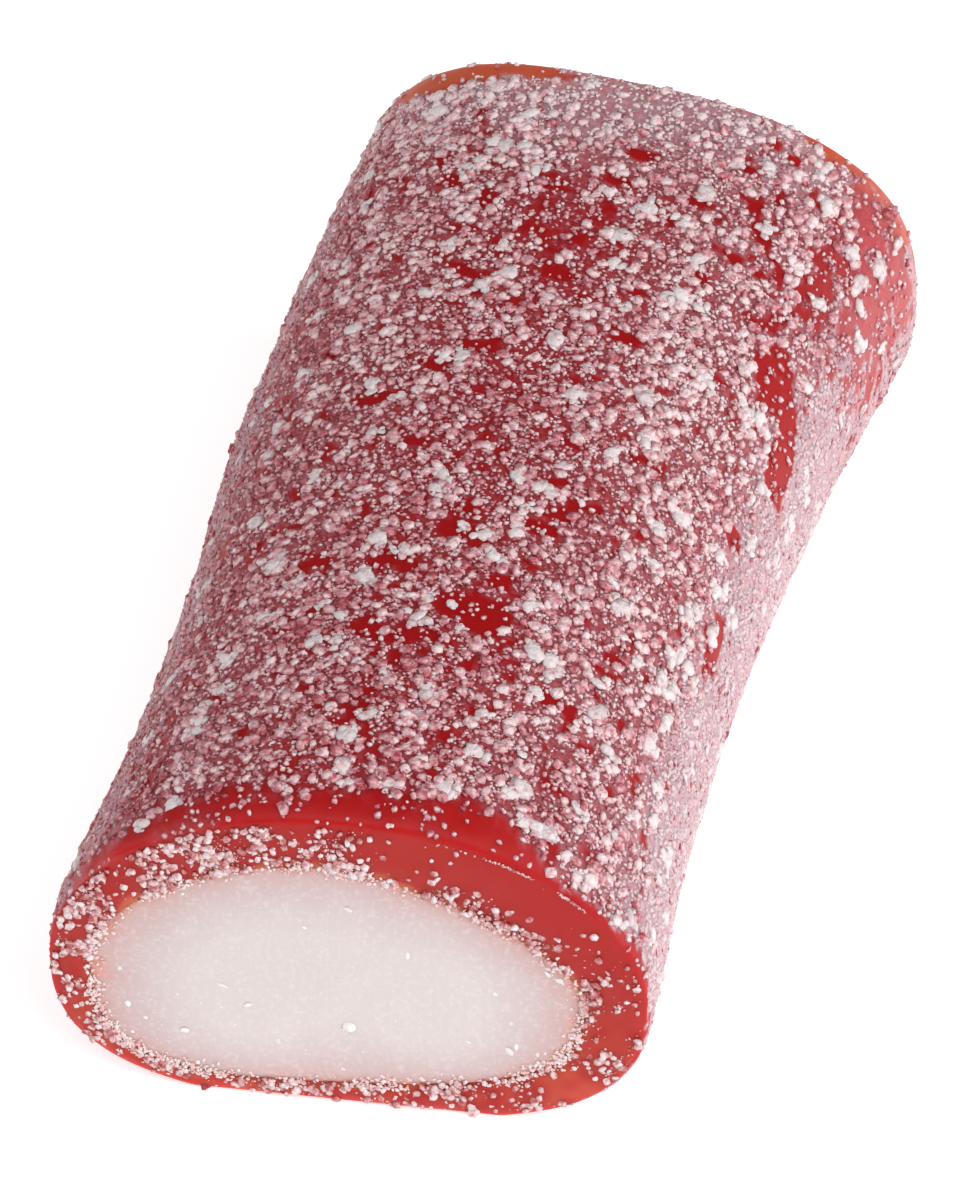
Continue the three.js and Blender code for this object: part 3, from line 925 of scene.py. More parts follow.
draw = np.random.default_rng(7)
skin_sugar = []
for name, shape, candidates, sizes, tilt in (
    ("sugar_coarse", cut_corner_box(), 10000, (0.16, 0.25), 0.25),
    ("sugar_medium", six_sided_pebble(), 35000, (0.12, 0.19), 0.3),
    ("sugar_small", eight_sided(), 52000, (0.08, 0.13), 0.35),
    ("sugar_fine", eight_sided(), 20000, (0.05, 0.08), 0.4),
):
    place, normal, tangent = sow_on_skin(candidates, loose_chance, draw)
    size = grain_sizes(*sizes, len(place), draw)
    size[:, 2] *= plumpness(place)
    skin_sugar.append(grains(
        name, shape, place, frames_about(normal, tangent, tilt, draw), size, draw,
        sunk=depth_in_skin(place), bias=GRAIN_BRIGHTNESS + whiteness_and_side_light(place), smooth=True,
        shares=(0.55, 0.1, 0.2),
    ))

# %% [markdown]
# Strays and frost grains are rounder and brighter than loose ones, and vary less in tone.
# Both could share the loose grains' loop, but a flat crystal looks lost on bare gummy, and
# packed ones would look like scales.

# %% Strays and frost
STRAY_CANDIDATES, FROST_CANDIDATES = 15000, 49000
ROUND_HEIGHTS = (0.6, 0.9)
FROST_BRIGHTNESS = 0.45

place, normal, tangent = sow_on_skin(STRAY_CANDIDATES, stray_chance, draw)
skin_sugar.append(grains(
    "sugar_strays", six_sided_pebble(), place, frames_about(normal, tangent, 0.3, draw),
    grain_sizes(0.06, 0.18, len(place), draw, flat=ROUND_HEIGHTS), draw,
    sunk=0.4, bias=FROST_BRIGHTNESS, smooth=True, shares=(0.4, 0.0, 0.1),
))
place, normal, tangent = sow_on_skin(FROST_CANDIDATES, frost_chance, draw)
frost_sugar = grains(
    "sugar_frost", six_sided_pebble(), place, frames_about(normal, tangent, 0.3, draw),
    grain_sizes(0.075, 0.16, len(place), draw, flat=ROUND_HEIGHTS), draw,
    sunk=depth_in_skin(place), bias=FROST_BRIGHTNESS + whiteness_and_side_light(place), smooth=True,
    shares=(0.3, 0.0, 0.1),
)


# %% [markdown]
# Caked lumps.
# Where small grains have caked together they make opaque lumps, the white spots that catch
# the eye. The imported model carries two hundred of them, fused to its shell at places that a
# fixed rule gives. Repeating the rule puts these lumps in the same places, without a table.

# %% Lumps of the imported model
SOLID_LUMPS = 200
LARGEST_LUMP, SMALLEST_LUMP = 0.46, 0.3
SOLID_BARE = [  # middle across and along, half-sizes across and along
    (3.0, -18.6, 8.5, 1.3), (1.4, -8.3, 2.4, 2.2), (9.6, 9.2, 1.1, 3.4), (9.8, 14.6, 1.3, 1.4),
    (6.8, 12.8, 1.0, 1.3),
]


def fixed_draw(n, channel):
    """A repeatable number from 0 to 1: the fraction of a large multiple of a sine."""
    value = np.sin(n * 12.9898 + channel * 78.233) * 43758.5453
    return value - np.floor(value)


def in_bare_patch(x, y):
    """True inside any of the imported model's bare ellipses, seen in the plan."""
    inside = [np.hypot((x - px) / side, (y - py) / end) < 1 for px, py, side, end in SOLID_BARE]
    return any(inside)


def solid_lumps():
    """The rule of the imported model: even steps round and along with a little jitter, smaller
    as their number grows, none at the rims, underneath or in its five bare patches."""
    found = []
    n = 0
    while len(found) < SOLID_LUMPS:
        around = (0.5 + n * STEP_ROUND + 0.05 * fixed_draw(n, 5)) % 1
        along = (0.5 + n * STEP_ALONG + 0.03 * fixed_draw(n, 6)) % 1
        radius = LARGEST_LUMP + (SMALLEST_LUMP - LARGEST_LUMP) * len(found) / SOLID_LUMPS
        x, y, z = outside(around, along)
        at_rim = min(along, 1 - along) * LENGTH < 2 * radius or z < 1.5 * radius
        if not at_rim and not (in_bare_patch(x, y) and z > HEIGHTS[0] / 2):
            found.append((around, along, radius))
        n += 1
    return np.array(found).T


rule_around, rule_along, rule_radius = solid_lumps()
print("lumps shared with the packed model:", len(rule_radius))

# %% [markdown]
# A few lumps stand out so much that the sweet is known by them. They are listed by distances across and
# along the plan, because those can be judged, and the turn that goes with them is looked up.

# %% Lumps that stand out
LANDMARKS = [  # across, along and radius of the lumps that stand out most
    (0.5, -4.8, 0.3), (9.0, 6.6, 0.45), (9.2, 17.2, 0.45), (10.8, 15.6, 0.42), (11.0, 15.0, 0.36),
    (3.0, 13.5, 0.45), (-3.2, 15.4, 0.48), (-2.4, 15.5, 0.36), (5.1, 9.8, 0.5), (2.4, 11.8, 0.46),
    (7.6, -0.3, 0.5), (2.6, -2.0, 0.42), (1.3, -5.1, 0.38), (4.4, -10.2, 0.5), (5.0, -10.3, 0.42),
    (8.6, -6.4, 0.46), (8.6, -8.0, 0.48), (5.6, -16.9, 0.52), (7.0, -11.6, 0.5), (1.0, -8.9, 0.2),
    (-3.6, -9.4, 0.32), (-5.0, -8.2, 0.3), (-0.4, -12.9, 0.3), (4.9, -12.0, 0.34), (3.0, -18.0, 0.4),
]


def on_top_at(across, along):
    """Skin places over points of the plan: the turn is found where the upper half of the
    section, read as a falling table, passes that distance across."""
    share = np.asarray(along) / LENGTH + 0.5
    turns = np.linspace(0.02, 0.48, 300)
    reach = outside(turns[None, :], share[:, None])[..., 0]
    return turns[np.abs(reach - np.asarray(across)[:, None]).argmin(axis=1)], share


mark_x, mark_y, mark_radius = np.array(LANDMARKS).T
mark_around, mark_along = on_top_at(mark_x, mark_y)
around, along = np.concatenate([rule_around, mark_around]), np.concatenate([rule_along, mark_along])
radius = np.concatenate([rule_radius, mark_radius])
print("lumps placed by hand:", len(mark_radius))


# %% [markdown]
# A real lump seldom stands alone, so up to five smaller ones gather beside each. A single
# bumpy ball would look modelled, while overlapping small ones look grown. Some more lumps
# fall by chance, mostly on the near half and the right side.

# %% Lumps and their neighbours
NEIGHBOUR_CHANCES = (0.9, 0.8, 0.65, 0.5, 0.35)
MORE_LUMPS, MORE_RADII = 380, (0.22, 0.4)
LUMP_WIDTHS, LUMP_HEIGHTS = (0.6, 0.95), (0.2, 0.32)


def with_neighbours(place, normal, tangent, radius, draw):
    """Each lump followed by up to five smaller ones, each moved along the skin by about the
    lump's radius in a direction of its own."""
    parts = [(place, normal, tangent, radius)]
    across = np.cross(normal, tangent)
    for chance in NEIGHBOUR_CHANCES:
        kept = draw.random(len(place)) < chance
        spin = draw.uniform(0, 2 * np.pi, (len(place), 1))
        heading = tangent * np.cos(spin) + across * np.sin(spin)
        beside = place + heading * radius[:, None] * draw.uniform(0.7, 1.2, (len(place), 1))
        smaller = radius[kept] * draw.uniform(0.35, 0.75, kept.sum())
        parts.append((beside[kept], normal[kept], tangent[kept], smaller))
    return (np.concatenate(columns) for columns in zip(*parts))


def lump_chance(place):
    """The coat squared, less low down, and most over the near half and the right side."""
    near_right = smooth_step(8, -8, place[..., 1]) * smooth_step(-6, 4, place[..., 0])
    return sugar_cover(place) ** 2 * smooth_step(0.5, 2.5, place[..., 2]) * (0.35 + 0.65 * near_right)


place, normal, tangent = uneven_skin(around, along)
more_place, more_normal, more_tangent = sow_on_skin(MORE_LUMPS, lump_chance, draw)
more_radius = draw.uniform(*MORE_RADII, len(more_place))
place, normal, tangent, radius = with_neighbours(
    np.concatenate([place, more_place]),
    np.concatenate([normal, more_normal]),
    np.concatenate([tangent, more_tangent]),
    np.concatenate([radius, more_radius]),
    draw,
)
wide, high = (draw.uniform(*limits, len(radius)) for limits in (LUMP_WIDTHS, LUMP_HEIGHTS))
size = radius[:, None] * np.stack([np.ones(len(radius)), wide, high], axis=1)
size[:, 2] *= plumpness(place)
lumps = grains(
    "sugar_lumps", round_lump(), place, frames_about(normal, tangent, 0.15, draw), size, draw,
    sunk=depth_in_skin(place) - 0.05, roughen=0.24, bias=0.25 + 0.6 * whiteness_and_side_light(place),
    shares=(0.6, 0.0, 0.0), smooth=True,
)

# %% [markdown]
# Sugar on the cuts.
# The cuts are made after the coating, so they only pick up what falls on them. Loose grains
# could be dropped by a simulation, but then they would land anywhere. Here a grain's place is
# a share of a turn and a distance out from the bore's edge, so it can follow the ring, the
# seam or the lip.

# %% Places on the cuts
RING_LIFT, FILLING_LIFT = 0.6 * FACE_SWELL, 0.02


def facing(outward, count):
    """Normals that point straight out of a cut, and long directions across it."""
    return np.tile([0.0, float(outward), 0.0], (count, 1)), np.tile([1.0, 0.0, 0.0], (count, 1))


def sow_on_cut(along, outward, number, distance, chance, draw):
    """Places, normals and long directions on a cut. The distance rule takes the ring's width
    and gives millimetres outwards from the bore's edge, negative ones on the filling. The
    chance rule takes the places and their share of the way from that edge to the rim."""
    around = even_turn((0.5 + np.arange(number) * STEP_ROUND + JITTER * draw.random(number)) % 1)
    inner, rim = bore(around, along), outside(around, along)
    width = np.linalg.norm(rim - inner, axis=-1)
    reach = distance(width)[:, None]
    place = inner + unit(rim - inner) * reach
    place[:, 1] += outward * np.where(reach[:, 0] > 0, RING_LIFT, FILLING_LIFT)
    kept = draw.random(number) < chance(place, np.clip(reach[:, 0] / width, 0, 1))
    return place[kept], *facing(outward, kept.sum())


def over_ring(width):
    """Anywhere from the bore's edge to just short of the rim."""
    return width * draw.random(len(width)) * 0.94


def about_seam(width):
    """A bell curve of distances about the seam between gummy and filling."""
    return np.clip(draw.normal(-0.02, 0.18, len(width)), -1.0, 0.5)


def along_lip(width):
    """A thread just inside the rim."""
    return width * draw.uniform(0.94, 0.97, len(width))


# %% [markdown]
# The rings keep their sugar by the same rule that dusts them. The crumbs and the thread have
# rules of their own: the fuzz of fondant crumbs that hides the seam is thick only in places,
# and the thread of dust along the lip is broken.

# %% Chances on the cuts
def crumb_chance(place, share):
    """Crumbs lie all along the seam, but thickly only in places, whatever their share."""
    patchy = 0.15 + 0.6 * smooth_step(-0.1, 0.45, lattice_noise(place, 1.0, 71))
    lower_left = smooth_step(3.0, 7.0, -place[..., 0]) * (1 - smooth_step(4.5, 7.0, place[..., 2]))
    return np.maximum(patchy, lower_left)


def thread_chance(place, share):
    """A broken thread along the upper right of the lip, whatever the share: noise cut into
    dashes, and smooth steps at both ends."""
    x, z = place[..., 0], place[..., 2]
    dashes = smooth_step(-0.5, 0.1, lattice_noise(place, 0.8, 81))
    upper_right = dashes * smooth_step(3.0, 4.5, x) * (1 - smooth_step(8.5, 9.5, x))
    return upper_right * smooth_step(8.0, 9.0, z)


print("crumbs along the seam, mean chance:", crumb_chance(bore(turn, 0.0), 0.0).mean().round(3))


# %% [markdown]
# A ring holds crystals, dust and a few small lumps: many at its upper left, fewer underneath
# and next to none on the smooth upper right. One function makes all three kinds for a cut,
# since only their shape, number and size differ.

# %% Ring sugar
RING_KINDS = (
    ("ring", cut_corner_box(), 4600, (0.07, 0.16)),
    ("ring_dust", six_sided_pebble(), 7000, (0.03, 0.07)),
    ("ring_lumps", round_lump(), 60, (0.18, 0.3)),
)


def ring_grains(name, along, outward):
    """Grains all over the ring, kept by the rule for its crust."""
    made = []
    for kind, shape, candidates, sizes in RING_KINDS:
        place, normal, tangent = sow_on_cut(along, outward, candidates, over_ring, ring_crust, draw)
        made.append(grains(
            f"sugar_{name}_{kind}", shape, place, frames_about(normal, tangent, 0.4, draw),
            grain_sizes(*sizes, len(place), draw, flat=(0.4, 0.7)), draw,
            sunk=0.42, shares=(0.6, 0.15, 0.2), smooth=True,
        ))
    return made


print("kinds of grain on each ring:", len(RING_KINDS))


# %% [markdown]
# Fondant crumbs were torn loose along the seam, and the knife left a thread of dust on the
# near lip. Both are rows of tiny grains, so they need only a narrow rule for the distance.

# %% Crumbs and thread
CRUMB_CANDIDATES, THREAD_CANDIDATES = 4200, 2400
TINY_HEIGHTS = (0.5, 0.7)


def seam_crumbs(name, along, outward):
    """Crumbs about the seam, nearly half sunk in the soft paste."""
    place, normal, tangent = sow_on_cut(
        along, outward, CRUMB_CANDIDATES, about_seam, crumb_chance, draw
    )
    return grains(
        f"crumbs_{name}_seam", six_sided_pebble(), place, frames_about(normal, tangent, 0.4, draw),
        grain_sizes(0.035, 0.12, len(place), draw, flat=TINY_HEIGHTS), draw, sunk=0.45, smooth=True,
    )


def lip_thread(name, along, outward):
    """A thread of dust just inside the lip."""
    place, normal, tangent = sow_on_cut(
        along, outward, THREAD_CANDIDATES, along_lip, thread_chance, draw
    )
    return grains(
        f"sugar_{name}_thread", eight_sided(), place, frames_about(normal, tangent, 0.4, draw),
        grain_sizes(0.02, 0.05, len(place), draw, flat=TINY_HEIGHTS), draw,
        bias=0.4, shares=(0.3, 0.0, 0.1),
    )


print("candidates for crumbs and thread:", CRUMB_CANDIDATES, THREAD_CANDIDATES)


# %% [markdown]
# Pale specks lie all over the fondant. A texture could show them, but real ones stand out a
# little and catch the light, so they are thin round lumps.

# %% Specks, and the sugar of both cuts
SPECKS = 150
SPECK_THICKNESS = 0.1


def fondant_specks(name, along, outward):
    """Even over the face, as the share of the way out is the root of a random number. Most
    are tiny: radius = 0.04 + 0.26 * the fourth power of another, in millimetres."""
    edge = bore(draw.random(SPECKS), along, -SIDE_OVERLAP)
    centre = bore(turn, along).mean(axis=0)
    share = np.sqrt(draw.random(SPECKS))[:, None] * 0.96
    place = centre + (edge - centre) * share
    place[:, 1] += outward * (FILLING_BULGE * (1 - share[:, 0] ** 2) - 0.02)
    radius = 0.04 + 0.26 * draw.random(SPECKS) ** 4
    wide, high = draw.uniform(*LUMP_WIDTHS, SPECKS), np.full(SPECKS, SPECK_THICKNESS)
    return grains(
        f"specks_{name}_fondant", round_lump(), place,
        frames_about(*facing(outward, SPECKS), 0.1, draw),
        radius[:, None] * np.stack([np.ones(SPECKS), wide, high], axis=1), draw,
        sunk=0.45, roughen=0.1, shares=(0.9, 0.0, 0.0), smooth=True,
    )


ring_sugar, crumbs, specks = [], [], []
for name, along, outward in (("near", 0.0, -1), ("far", 1.0, 1)):
    ring_sugar += ring_grains(name, along, outward)
    crumbs.append(seam_crumbs(name, along, outward))
    if name == "near":
        ring_sugar.append(lip_thread(name, along, outward))
    specks.append(fondant_specks(name, along, outward))

# %% [markdown]
# Finishes.
# Each finish is a shader with its plain numbers set on its own sockets. What changes over the
# surface comes from noise and from the coat, through two shared groups: one lays sugar dust
# on a colour, the other clouds the tone of each grain.

# %% Node helpers
def new_material(name):
    """A material with one Principled shader; returns it with its nodes and links."""
    material = bpy.data.materials.new(name)
    material.use_nodes = True
    nodes, links = material.node_tree.nodes, material.node_tree.links
    return material, nodes, links, nodes["Principled BSDF"]


def node(nodes, kind, **values):
    """Adds a node; each value goes to the property or the input of that name."""
    made = nodes.new(kind)
    for key, value in values.items():
        if hasattr(made, key):
            setattr(made, key, value)
        else:
            made.inputs[key.replace("_", " ")].default_value = value
    return made


def group_tree(name, inputs, outputs):
    """An empty node group with float or colour sockets."""
    tree = bpy.data.node_groups.new(name, "ShaderNodeTree")
    for label, kind, value in inputs:
        socket = tree.interface.new_socket(label, in_out="INPUT", socket_type=kind)
        socket.default_value = value
    for label, kind in outputs:
        tree.interface.new_socket(label, in_out="OUTPUT", socket_type=kind)
    return tree, tree.nodes.new("NodeGroupInput"), tree.nodes.new("NodeGroupOutput")


def place_group(nodes, tree, **values):
    """Puts a group into a material with its own values."""
    placed_group = nodes.new("ShaderNodeGroup")
    placed_group.node_tree = tree
    for key, value in values.items():
        placed_group.inputs[key.replace("_", " ")].default_value = value
    return placed_group


def set_ramp(ramp, stops):
    """Gives a colour ramp its stops, as pairs of a position and a colour."""
    elements = ramp.color_ramp.elements
    while len(elements) < len(stops):
        elements.new(0.5)
    for element, (position, colour) in zip(elements, stops):
        element.position = position
        element.color = (*colour, 1)


print("helpers ready, materials so far:", len(bpy.data.materials))

# %% [markdown]
# Sugar dust.
# Dust too fine to model whitens the gummy between the grains and speckles the fondant. An
# image of dust would stretch over the rims, so noise in the object's own space makes it: a
# speckle where the noise passes a threshold, and an even haze, both masked by the cover. Both
# finishes need it, each with its own values, so it is a group.

# %% Sugar dust group
FLOAT, COLOUR = "NodeSocketFloat", "NodeSocketColor"
WHITE = (1, 1, 1, 1)

dust, dust_in, dust_out = group_tree(
    "sugar_dust",
    [("Colour", COLOUR, WHITE), ("Dust Colour", COLOUR, WHITE), ("Cover", FLOAT, 1.0),
     ("Grain Scale", FLOAT, 6000.0), ("Threshold", FLOAT, 0.4), ("Amount", FLOAT, 0.5),
     ("Haze", FLOAT, 0.2), ("Roughness", FLOAT, 0.4)],
    [("Colour", COLOUR), ("Roughness", FLOAT), ("Height", FLOAT)],
)
where = node(dust.nodes, "ShaderNodeTexCoord")
speckle = node(dust.nodes, "ShaderNodeTexNoise", Detail=2.0, Roughness=0.6)
sharpen = node(dust.nodes, "ShaderNodeMapRange", From_Max=0.74)
grainy = node(dust.nodes, "ShaderNodeMath", operation="MULTIPLY_ADD")
masked = node(dust.nodes, "ShaderNodeMath", operation="MULTIPLY", use_clamp=True)
tinted = node(dust.nodes, "ShaderNodeMix", data_type="RGBA")
rougher = node(dust.nodes, "ShaderNodeMapRange", To_Max=0.7)
for start, end in (
    (where.outputs["Object"], speckle.inputs["Vector"]),
    (dust_in.outputs["Grain Scale"], speckle.inputs["Scale"]),
    (speckle.outputs["Fac"], sharpen.inputs["Value"]),
    (dust_in.outputs["Threshold"], sharpen.inputs["From Min"]),
    (sharpen.outputs["Result"], grainy.inputs[0]),
    (dust_in.outputs["Amount"], grainy.inputs[1]),
    (dust_in.outputs["Haze"], grainy.inputs[2]),
    (grainy.outputs["Value"], masked.inputs[0]),
    (dust_in.outputs["Cover"], masked.inputs[1]),
    (masked.outputs["Value"], tinted.inputs["Factor"]),
    (dust_in.outputs["Colour"], tinted.inputs["A"]),
    (dust_in.outputs["Dust Colour"], tinted.inputs["B"]),
    (tinted.outputs["Result"], dust_out.inputs["Colour"]),
    (masked.outputs["Value"], rougher.inputs["Value"]),
    (dust_in.outputs["Roughness"], rougher.inputs["To Min"]),
    (rougher.outputs["Result"], dust_out.inputs["Roughness"]),
    (masked.outputs["Value"], dust_out.inputs["Height"]),
):
    dust.links.new(start, end)
print("sugar dust group:", len(dust.nodes), "nodes")

# %% [markdown]
# The gummy's finish.
# Gummy glows because light soaks in, spreads and comes out redder. Full glass-like transmission would
# cost far more time and show the filling too clearly, so subsurface scattering does it, with red light
# that travels furthest. The warmth picks a red from a ramp, painted orange glow at the thin places
# included, and the dust group veils it.

# %% Gummy material
gummy_finish, nodes, links, shader = new_material("strawberry_gummy")
shader.inputs["IOR"].default_value = 1.45
shader.inputs["Specular IOR Level"].default_value = 0.28
shader.inputs["Subsurface Weight"].default_value = 0.8
shader.inputs["Subsurface Radius"].default_value = (1.0, 0.12, 0.1)
shader.inputs["Subsurface Scale"].default_value = 0.0012
cover_at, warmth_and_glow_at, pale_at = (
    node(nodes, "ShaderNodeAttribute", attribute_name=name) for name in ("cover", "warmth_and_glow", "pale")
)
where = node(nodes, "ShaderNodeTexCoord")
drift = node(nodes, "ShaderNodeTexNoise", Scale=260.0, Detail=2.0)
drifting = node(nodes, "ShaderNodeMath", operation="MULTIPLY_ADD")
drifting.inputs[1].default_value = 0.16
warmer = node(nodes, "ShaderNodeMath", operation="SUBTRACT", use_clamp=True)
warmer.inputs[1].default_value = 0.08
# the orange end of these reds is the painted glow at the bore's mouth and the far corners
reds = node(nodes, "ShaderNodeValToRGB")
set_ramp(reds, [
    (0.0, (0.38, 0.0025, 0.004)), (0.3, (0.45, 0.004, 0.005)), (0.45, (0.435, 0.014, 0.011)),
    (0.6, (0.48, 0.032, 0.02)), (1.0, (0.66, 0.13, 0.055)),
])
veil = node(
    nodes, "ShaderNodeMix", data_type="RGBA", A=(0.54, 0.20, 0.245, 1), B=(0.63, 0.37, 0.405, 1)
)
hazier = node(nodes, "ShaderNodeMapRange", To_Min=0.05, To_Max=0.75)
dusted = place_group(nodes, dust, Grain_Scale=5000.0, Threshold=0.4, Amount=0.45, Roughness=0.46)
bump = node(nodes, "ShaderNodeBump", Strength=0.6, Distance=0.00006)
for start, end in (
    (where.outputs["Object"], drift.inputs["Vector"]),
    (drift.outputs["Fac"], drifting.inputs[0]),
    (warmth_and_glow_at.outputs["Fac"], drifting.inputs[2]),
    (drifting.outputs["Value"], warmer.inputs[0]),
    (warmer.outputs["Value"], reds.inputs["Fac"]),
    (reds.outputs["Color"], dusted.inputs["Colour"]),
    (pale_at.outputs["Fac"], veil.inputs["Factor"]),
    (pale_at.outputs["Fac"], hazier.inputs["Value"]),
    (hazier.outputs["Result"], dusted.inputs["Haze"]),
    (veil.outputs["Result"], dusted.inputs["Dust Colour"]),
    (cover_at.outputs["Fac"], dusted.inputs["Cover"]),
    (dusted.outputs["Colour"], shader.inputs["Base Color"]),
    (dusted.outputs["Roughness"], shader.inputs["Roughness"]),
    (dusted.outputs["Height"], bump.inputs["Height"]),
    (bump.outputs["Normal"], shader.inputs["Normal"]),
):
    links.new(start, end)
gummy.data.materials.append(gummy_finish)
print("gummy finish:", len(nodes), "nodes")

# %% [markdown]
# The fondant's finish.
# Fondant is matt and dense, so light goes in only a little. Its colour runs from a darker pink at the
# seam to a warm white in the middle: the pink is a painted glow of red light from the gummy and the
# darkening is painted shade. Noise makes that border wander. Faint drag marks from the knife are noise
# stretched along one direction, because as modelled grooves they would be too fine for the mesh.

# %% Fondant material
fondant_finish, nodes, links, shader = new_material("white_fondant")
shader.inputs["Subsurface Weight"].default_value = 0.5
shader.inputs["Subsurface Radius"].default_value = (1.0, 0.8, 0.7)
shader.inputs["Subsurface Scale"].default_value = 0.0006
shader.inputs["Specular IOR Level"].default_value = 0.3
inward_at = node(nodes, "ShaderNodeAttribute", attribute_name="inward")
where = node(nodes, "ShaderNodeTexCoord")
seam = node(nodes, "ShaderNodeTexNoise", Scale=900.0, Detail=2.0)
wander = node(nodes, "ShaderNodeMath", operation="MULTIPLY_ADD")
wander.inputs[1].default_value = -0.7
depth = node(nodes, "ShaderNodeMapRange", From_Min=-0.35, From_Max=3.0)
# painted glow and shade: orange and darker pink at the seam, warm white in the middle
paste = node(nodes, "ShaderNodeValToRGB")
set_ramp(paste, [
    (0.0, (0.72, 0.32, 0.26)), (0.1, (0.62, 0.42, 0.41)), (0.3, (0.625, 0.495, 0.49)),
    (0.6, (0.655, 0.565, 0.56)), (1.0, (0.69, 0.62, 0.605)),
])
knife = node(nodes, "ShaderNodeMapping", Scale=(1.0, 1.0, 0.12), Rotation=(0.0, 0.3, 0.0))
drag = node(nodes, "ShaderNodeTexNoise", Scale=3200.0, Detail=2.0)
dusted = place_group(
    nodes, dust, Dust_Colour=(0.86, 0.82, 0.81, 1), Cover=1.0, Grain_Scale=4500.0,
    Threshold=0.5, Amount=0.3, Haze=0.0, Roughness=0.6
)
rise = node(nodes, "ShaderNodeMath", operation="ADD")
bump = node(nodes, "ShaderNodeBump", Strength=0.3, Distance=0.00005)
for start, end in (
    (where.outputs["Object"], seam.inputs["Vector"]),
    (seam.outputs["Fac"], wander.inputs[0]),
    (inward_at.outputs["Fac"], wander.inputs[2]),
    (wander.outputs["Value"], depth.inputs["Value"]),
    (depth.outputs["Result"], paste.inputs["Fac"]),
    (paste.outputs["Color"], dusted.inputs["Colour"]),
    (dusted.outputs["Colour"], shader.inputs["Base Color"]),
    (dusted.outputs["Roughness"], shader.inputs["Roughness"]),
    (where.outputs["Object"], knife.inputs["Vector"]),
    (knife.outputs["Vector"], drag.inputs["Vector"]),
    (drag.outputs["Fac"], rise.inputs[0]),
    (dusted.outputs["Height"], rise.inputs[1]),
    (rise.outputs["Value"], bump.inputs["Height"]),
    (bump.outputs["Normal"], shader.inputs["Normal"]),
):
    links.new(start, end)
fondant.data.materials.append(fondant_finish)
print("fondant finish:", len(nodes), "nodes")

# %% [markdown]
# The sugar's finish.
# Sugar crystals are clear, and what the eye sees is the red through a clean side and white where one is
# cloudy or catches the light. Tens of thousands of glass grains would be far slower to render, so the
# grains are opaque and a tone stands for how cloudy each place is, with a painted reflection on the
# steep sides. This group adds cloudy veins to a grain's own tone, paints its top lighter as a painted
# highlight and darkens its foot, partly for the red that shows through there and partly as painted shade
# where the grain meets the gummy. Every sugar finish places it with its own values.

# %% Cloudy crystal group, with painted foot shade
cloudy_and_foot_shade, cloudy_in, cloudy_out = group_tree(
    "cloudy_inside_and_foot_shade",
    [("Tone", FLOAT, 0.5), ("Rise", FLOAT, 0.5), ("Foot Shade", FLOAT, 0.5),
     ("Scale", FLOAT, 5500.0), ("Spread", FLOAT, 0.5)],
    [("Tone", FLOAT)],
)
where = node(cloudy_and_foot_shade.nodes, "ShaderNodeTexCoord")
veins = node(cloudy_and_foot_shade.nodes, "ShaderNodeTexNoise", Detail=1.0)
centred = node(cloudy_and_foot_shade.nodes, "ShaderNodeMapRange", From_Min=0.3, From_Max=0.7, To_Min=-1.0, To_Max=1.0)
spread = node(cloudy_and_foot_shade.nodes, "ShaderNodeMath", operation="MULTIPLY_ADD")
# painted highlight and shade: tone raised at a grain's top and lowered at its foot
from_top = node(cloudy_and_foot_shade.nodes, "ShaderNodeMath", operation="SUBTRACT")
from_top.inputs[1].default_value = 0.6
shaded = node(cloudy_and_foot_shade.nodes, "ShaderNodeMath", operation="MULTIPLY_ADD")
for start, end in (
    (where.outputs["Object"], veins.inputs["Vector"]),
    (cloudy_in.outputs["Scale"], veins.inputs["Scale"]),
    (veins.outputs["Fac"], centred.inputs["Value"]),
    (centred.outputs["Result"], spread.inputs[0]),
    (cloudy_in.outputs["Spread"], spread.inputs[1]),
    (cloudy_in.outputs["Rise"], from_top.inputs[0]),
    (from_top.outputs["Value"], shaded.inputs[0]),
    (cloudy_in.outputs["Foot Shade"], shaded.inputs[1]),
    (cloudy_in.outputs["Tone"], shaded.inputs[2]),
    (shaded.outputs["Value"], spread.inputs[2]),
    (spread.outputs["Value"], cloudy_out.inputs["Tone"]),
):
    cloudy_and_foot_shade.links.new(start, end)
print("cloudy inside group:", len(cloudy_and_foot_shade.nodes), "nodes")


# %% [markdown]
# A colour ramp turns the tone into a colour, from what shows through a clear side to what a
# bright one throws back. Small dents about a tenth of a millimetre wide break the light into
# glints. They are only a bump, because modelled ones would need many times the triangles.

# %% Sugar finish
GLINT_SCALE = 8000.0


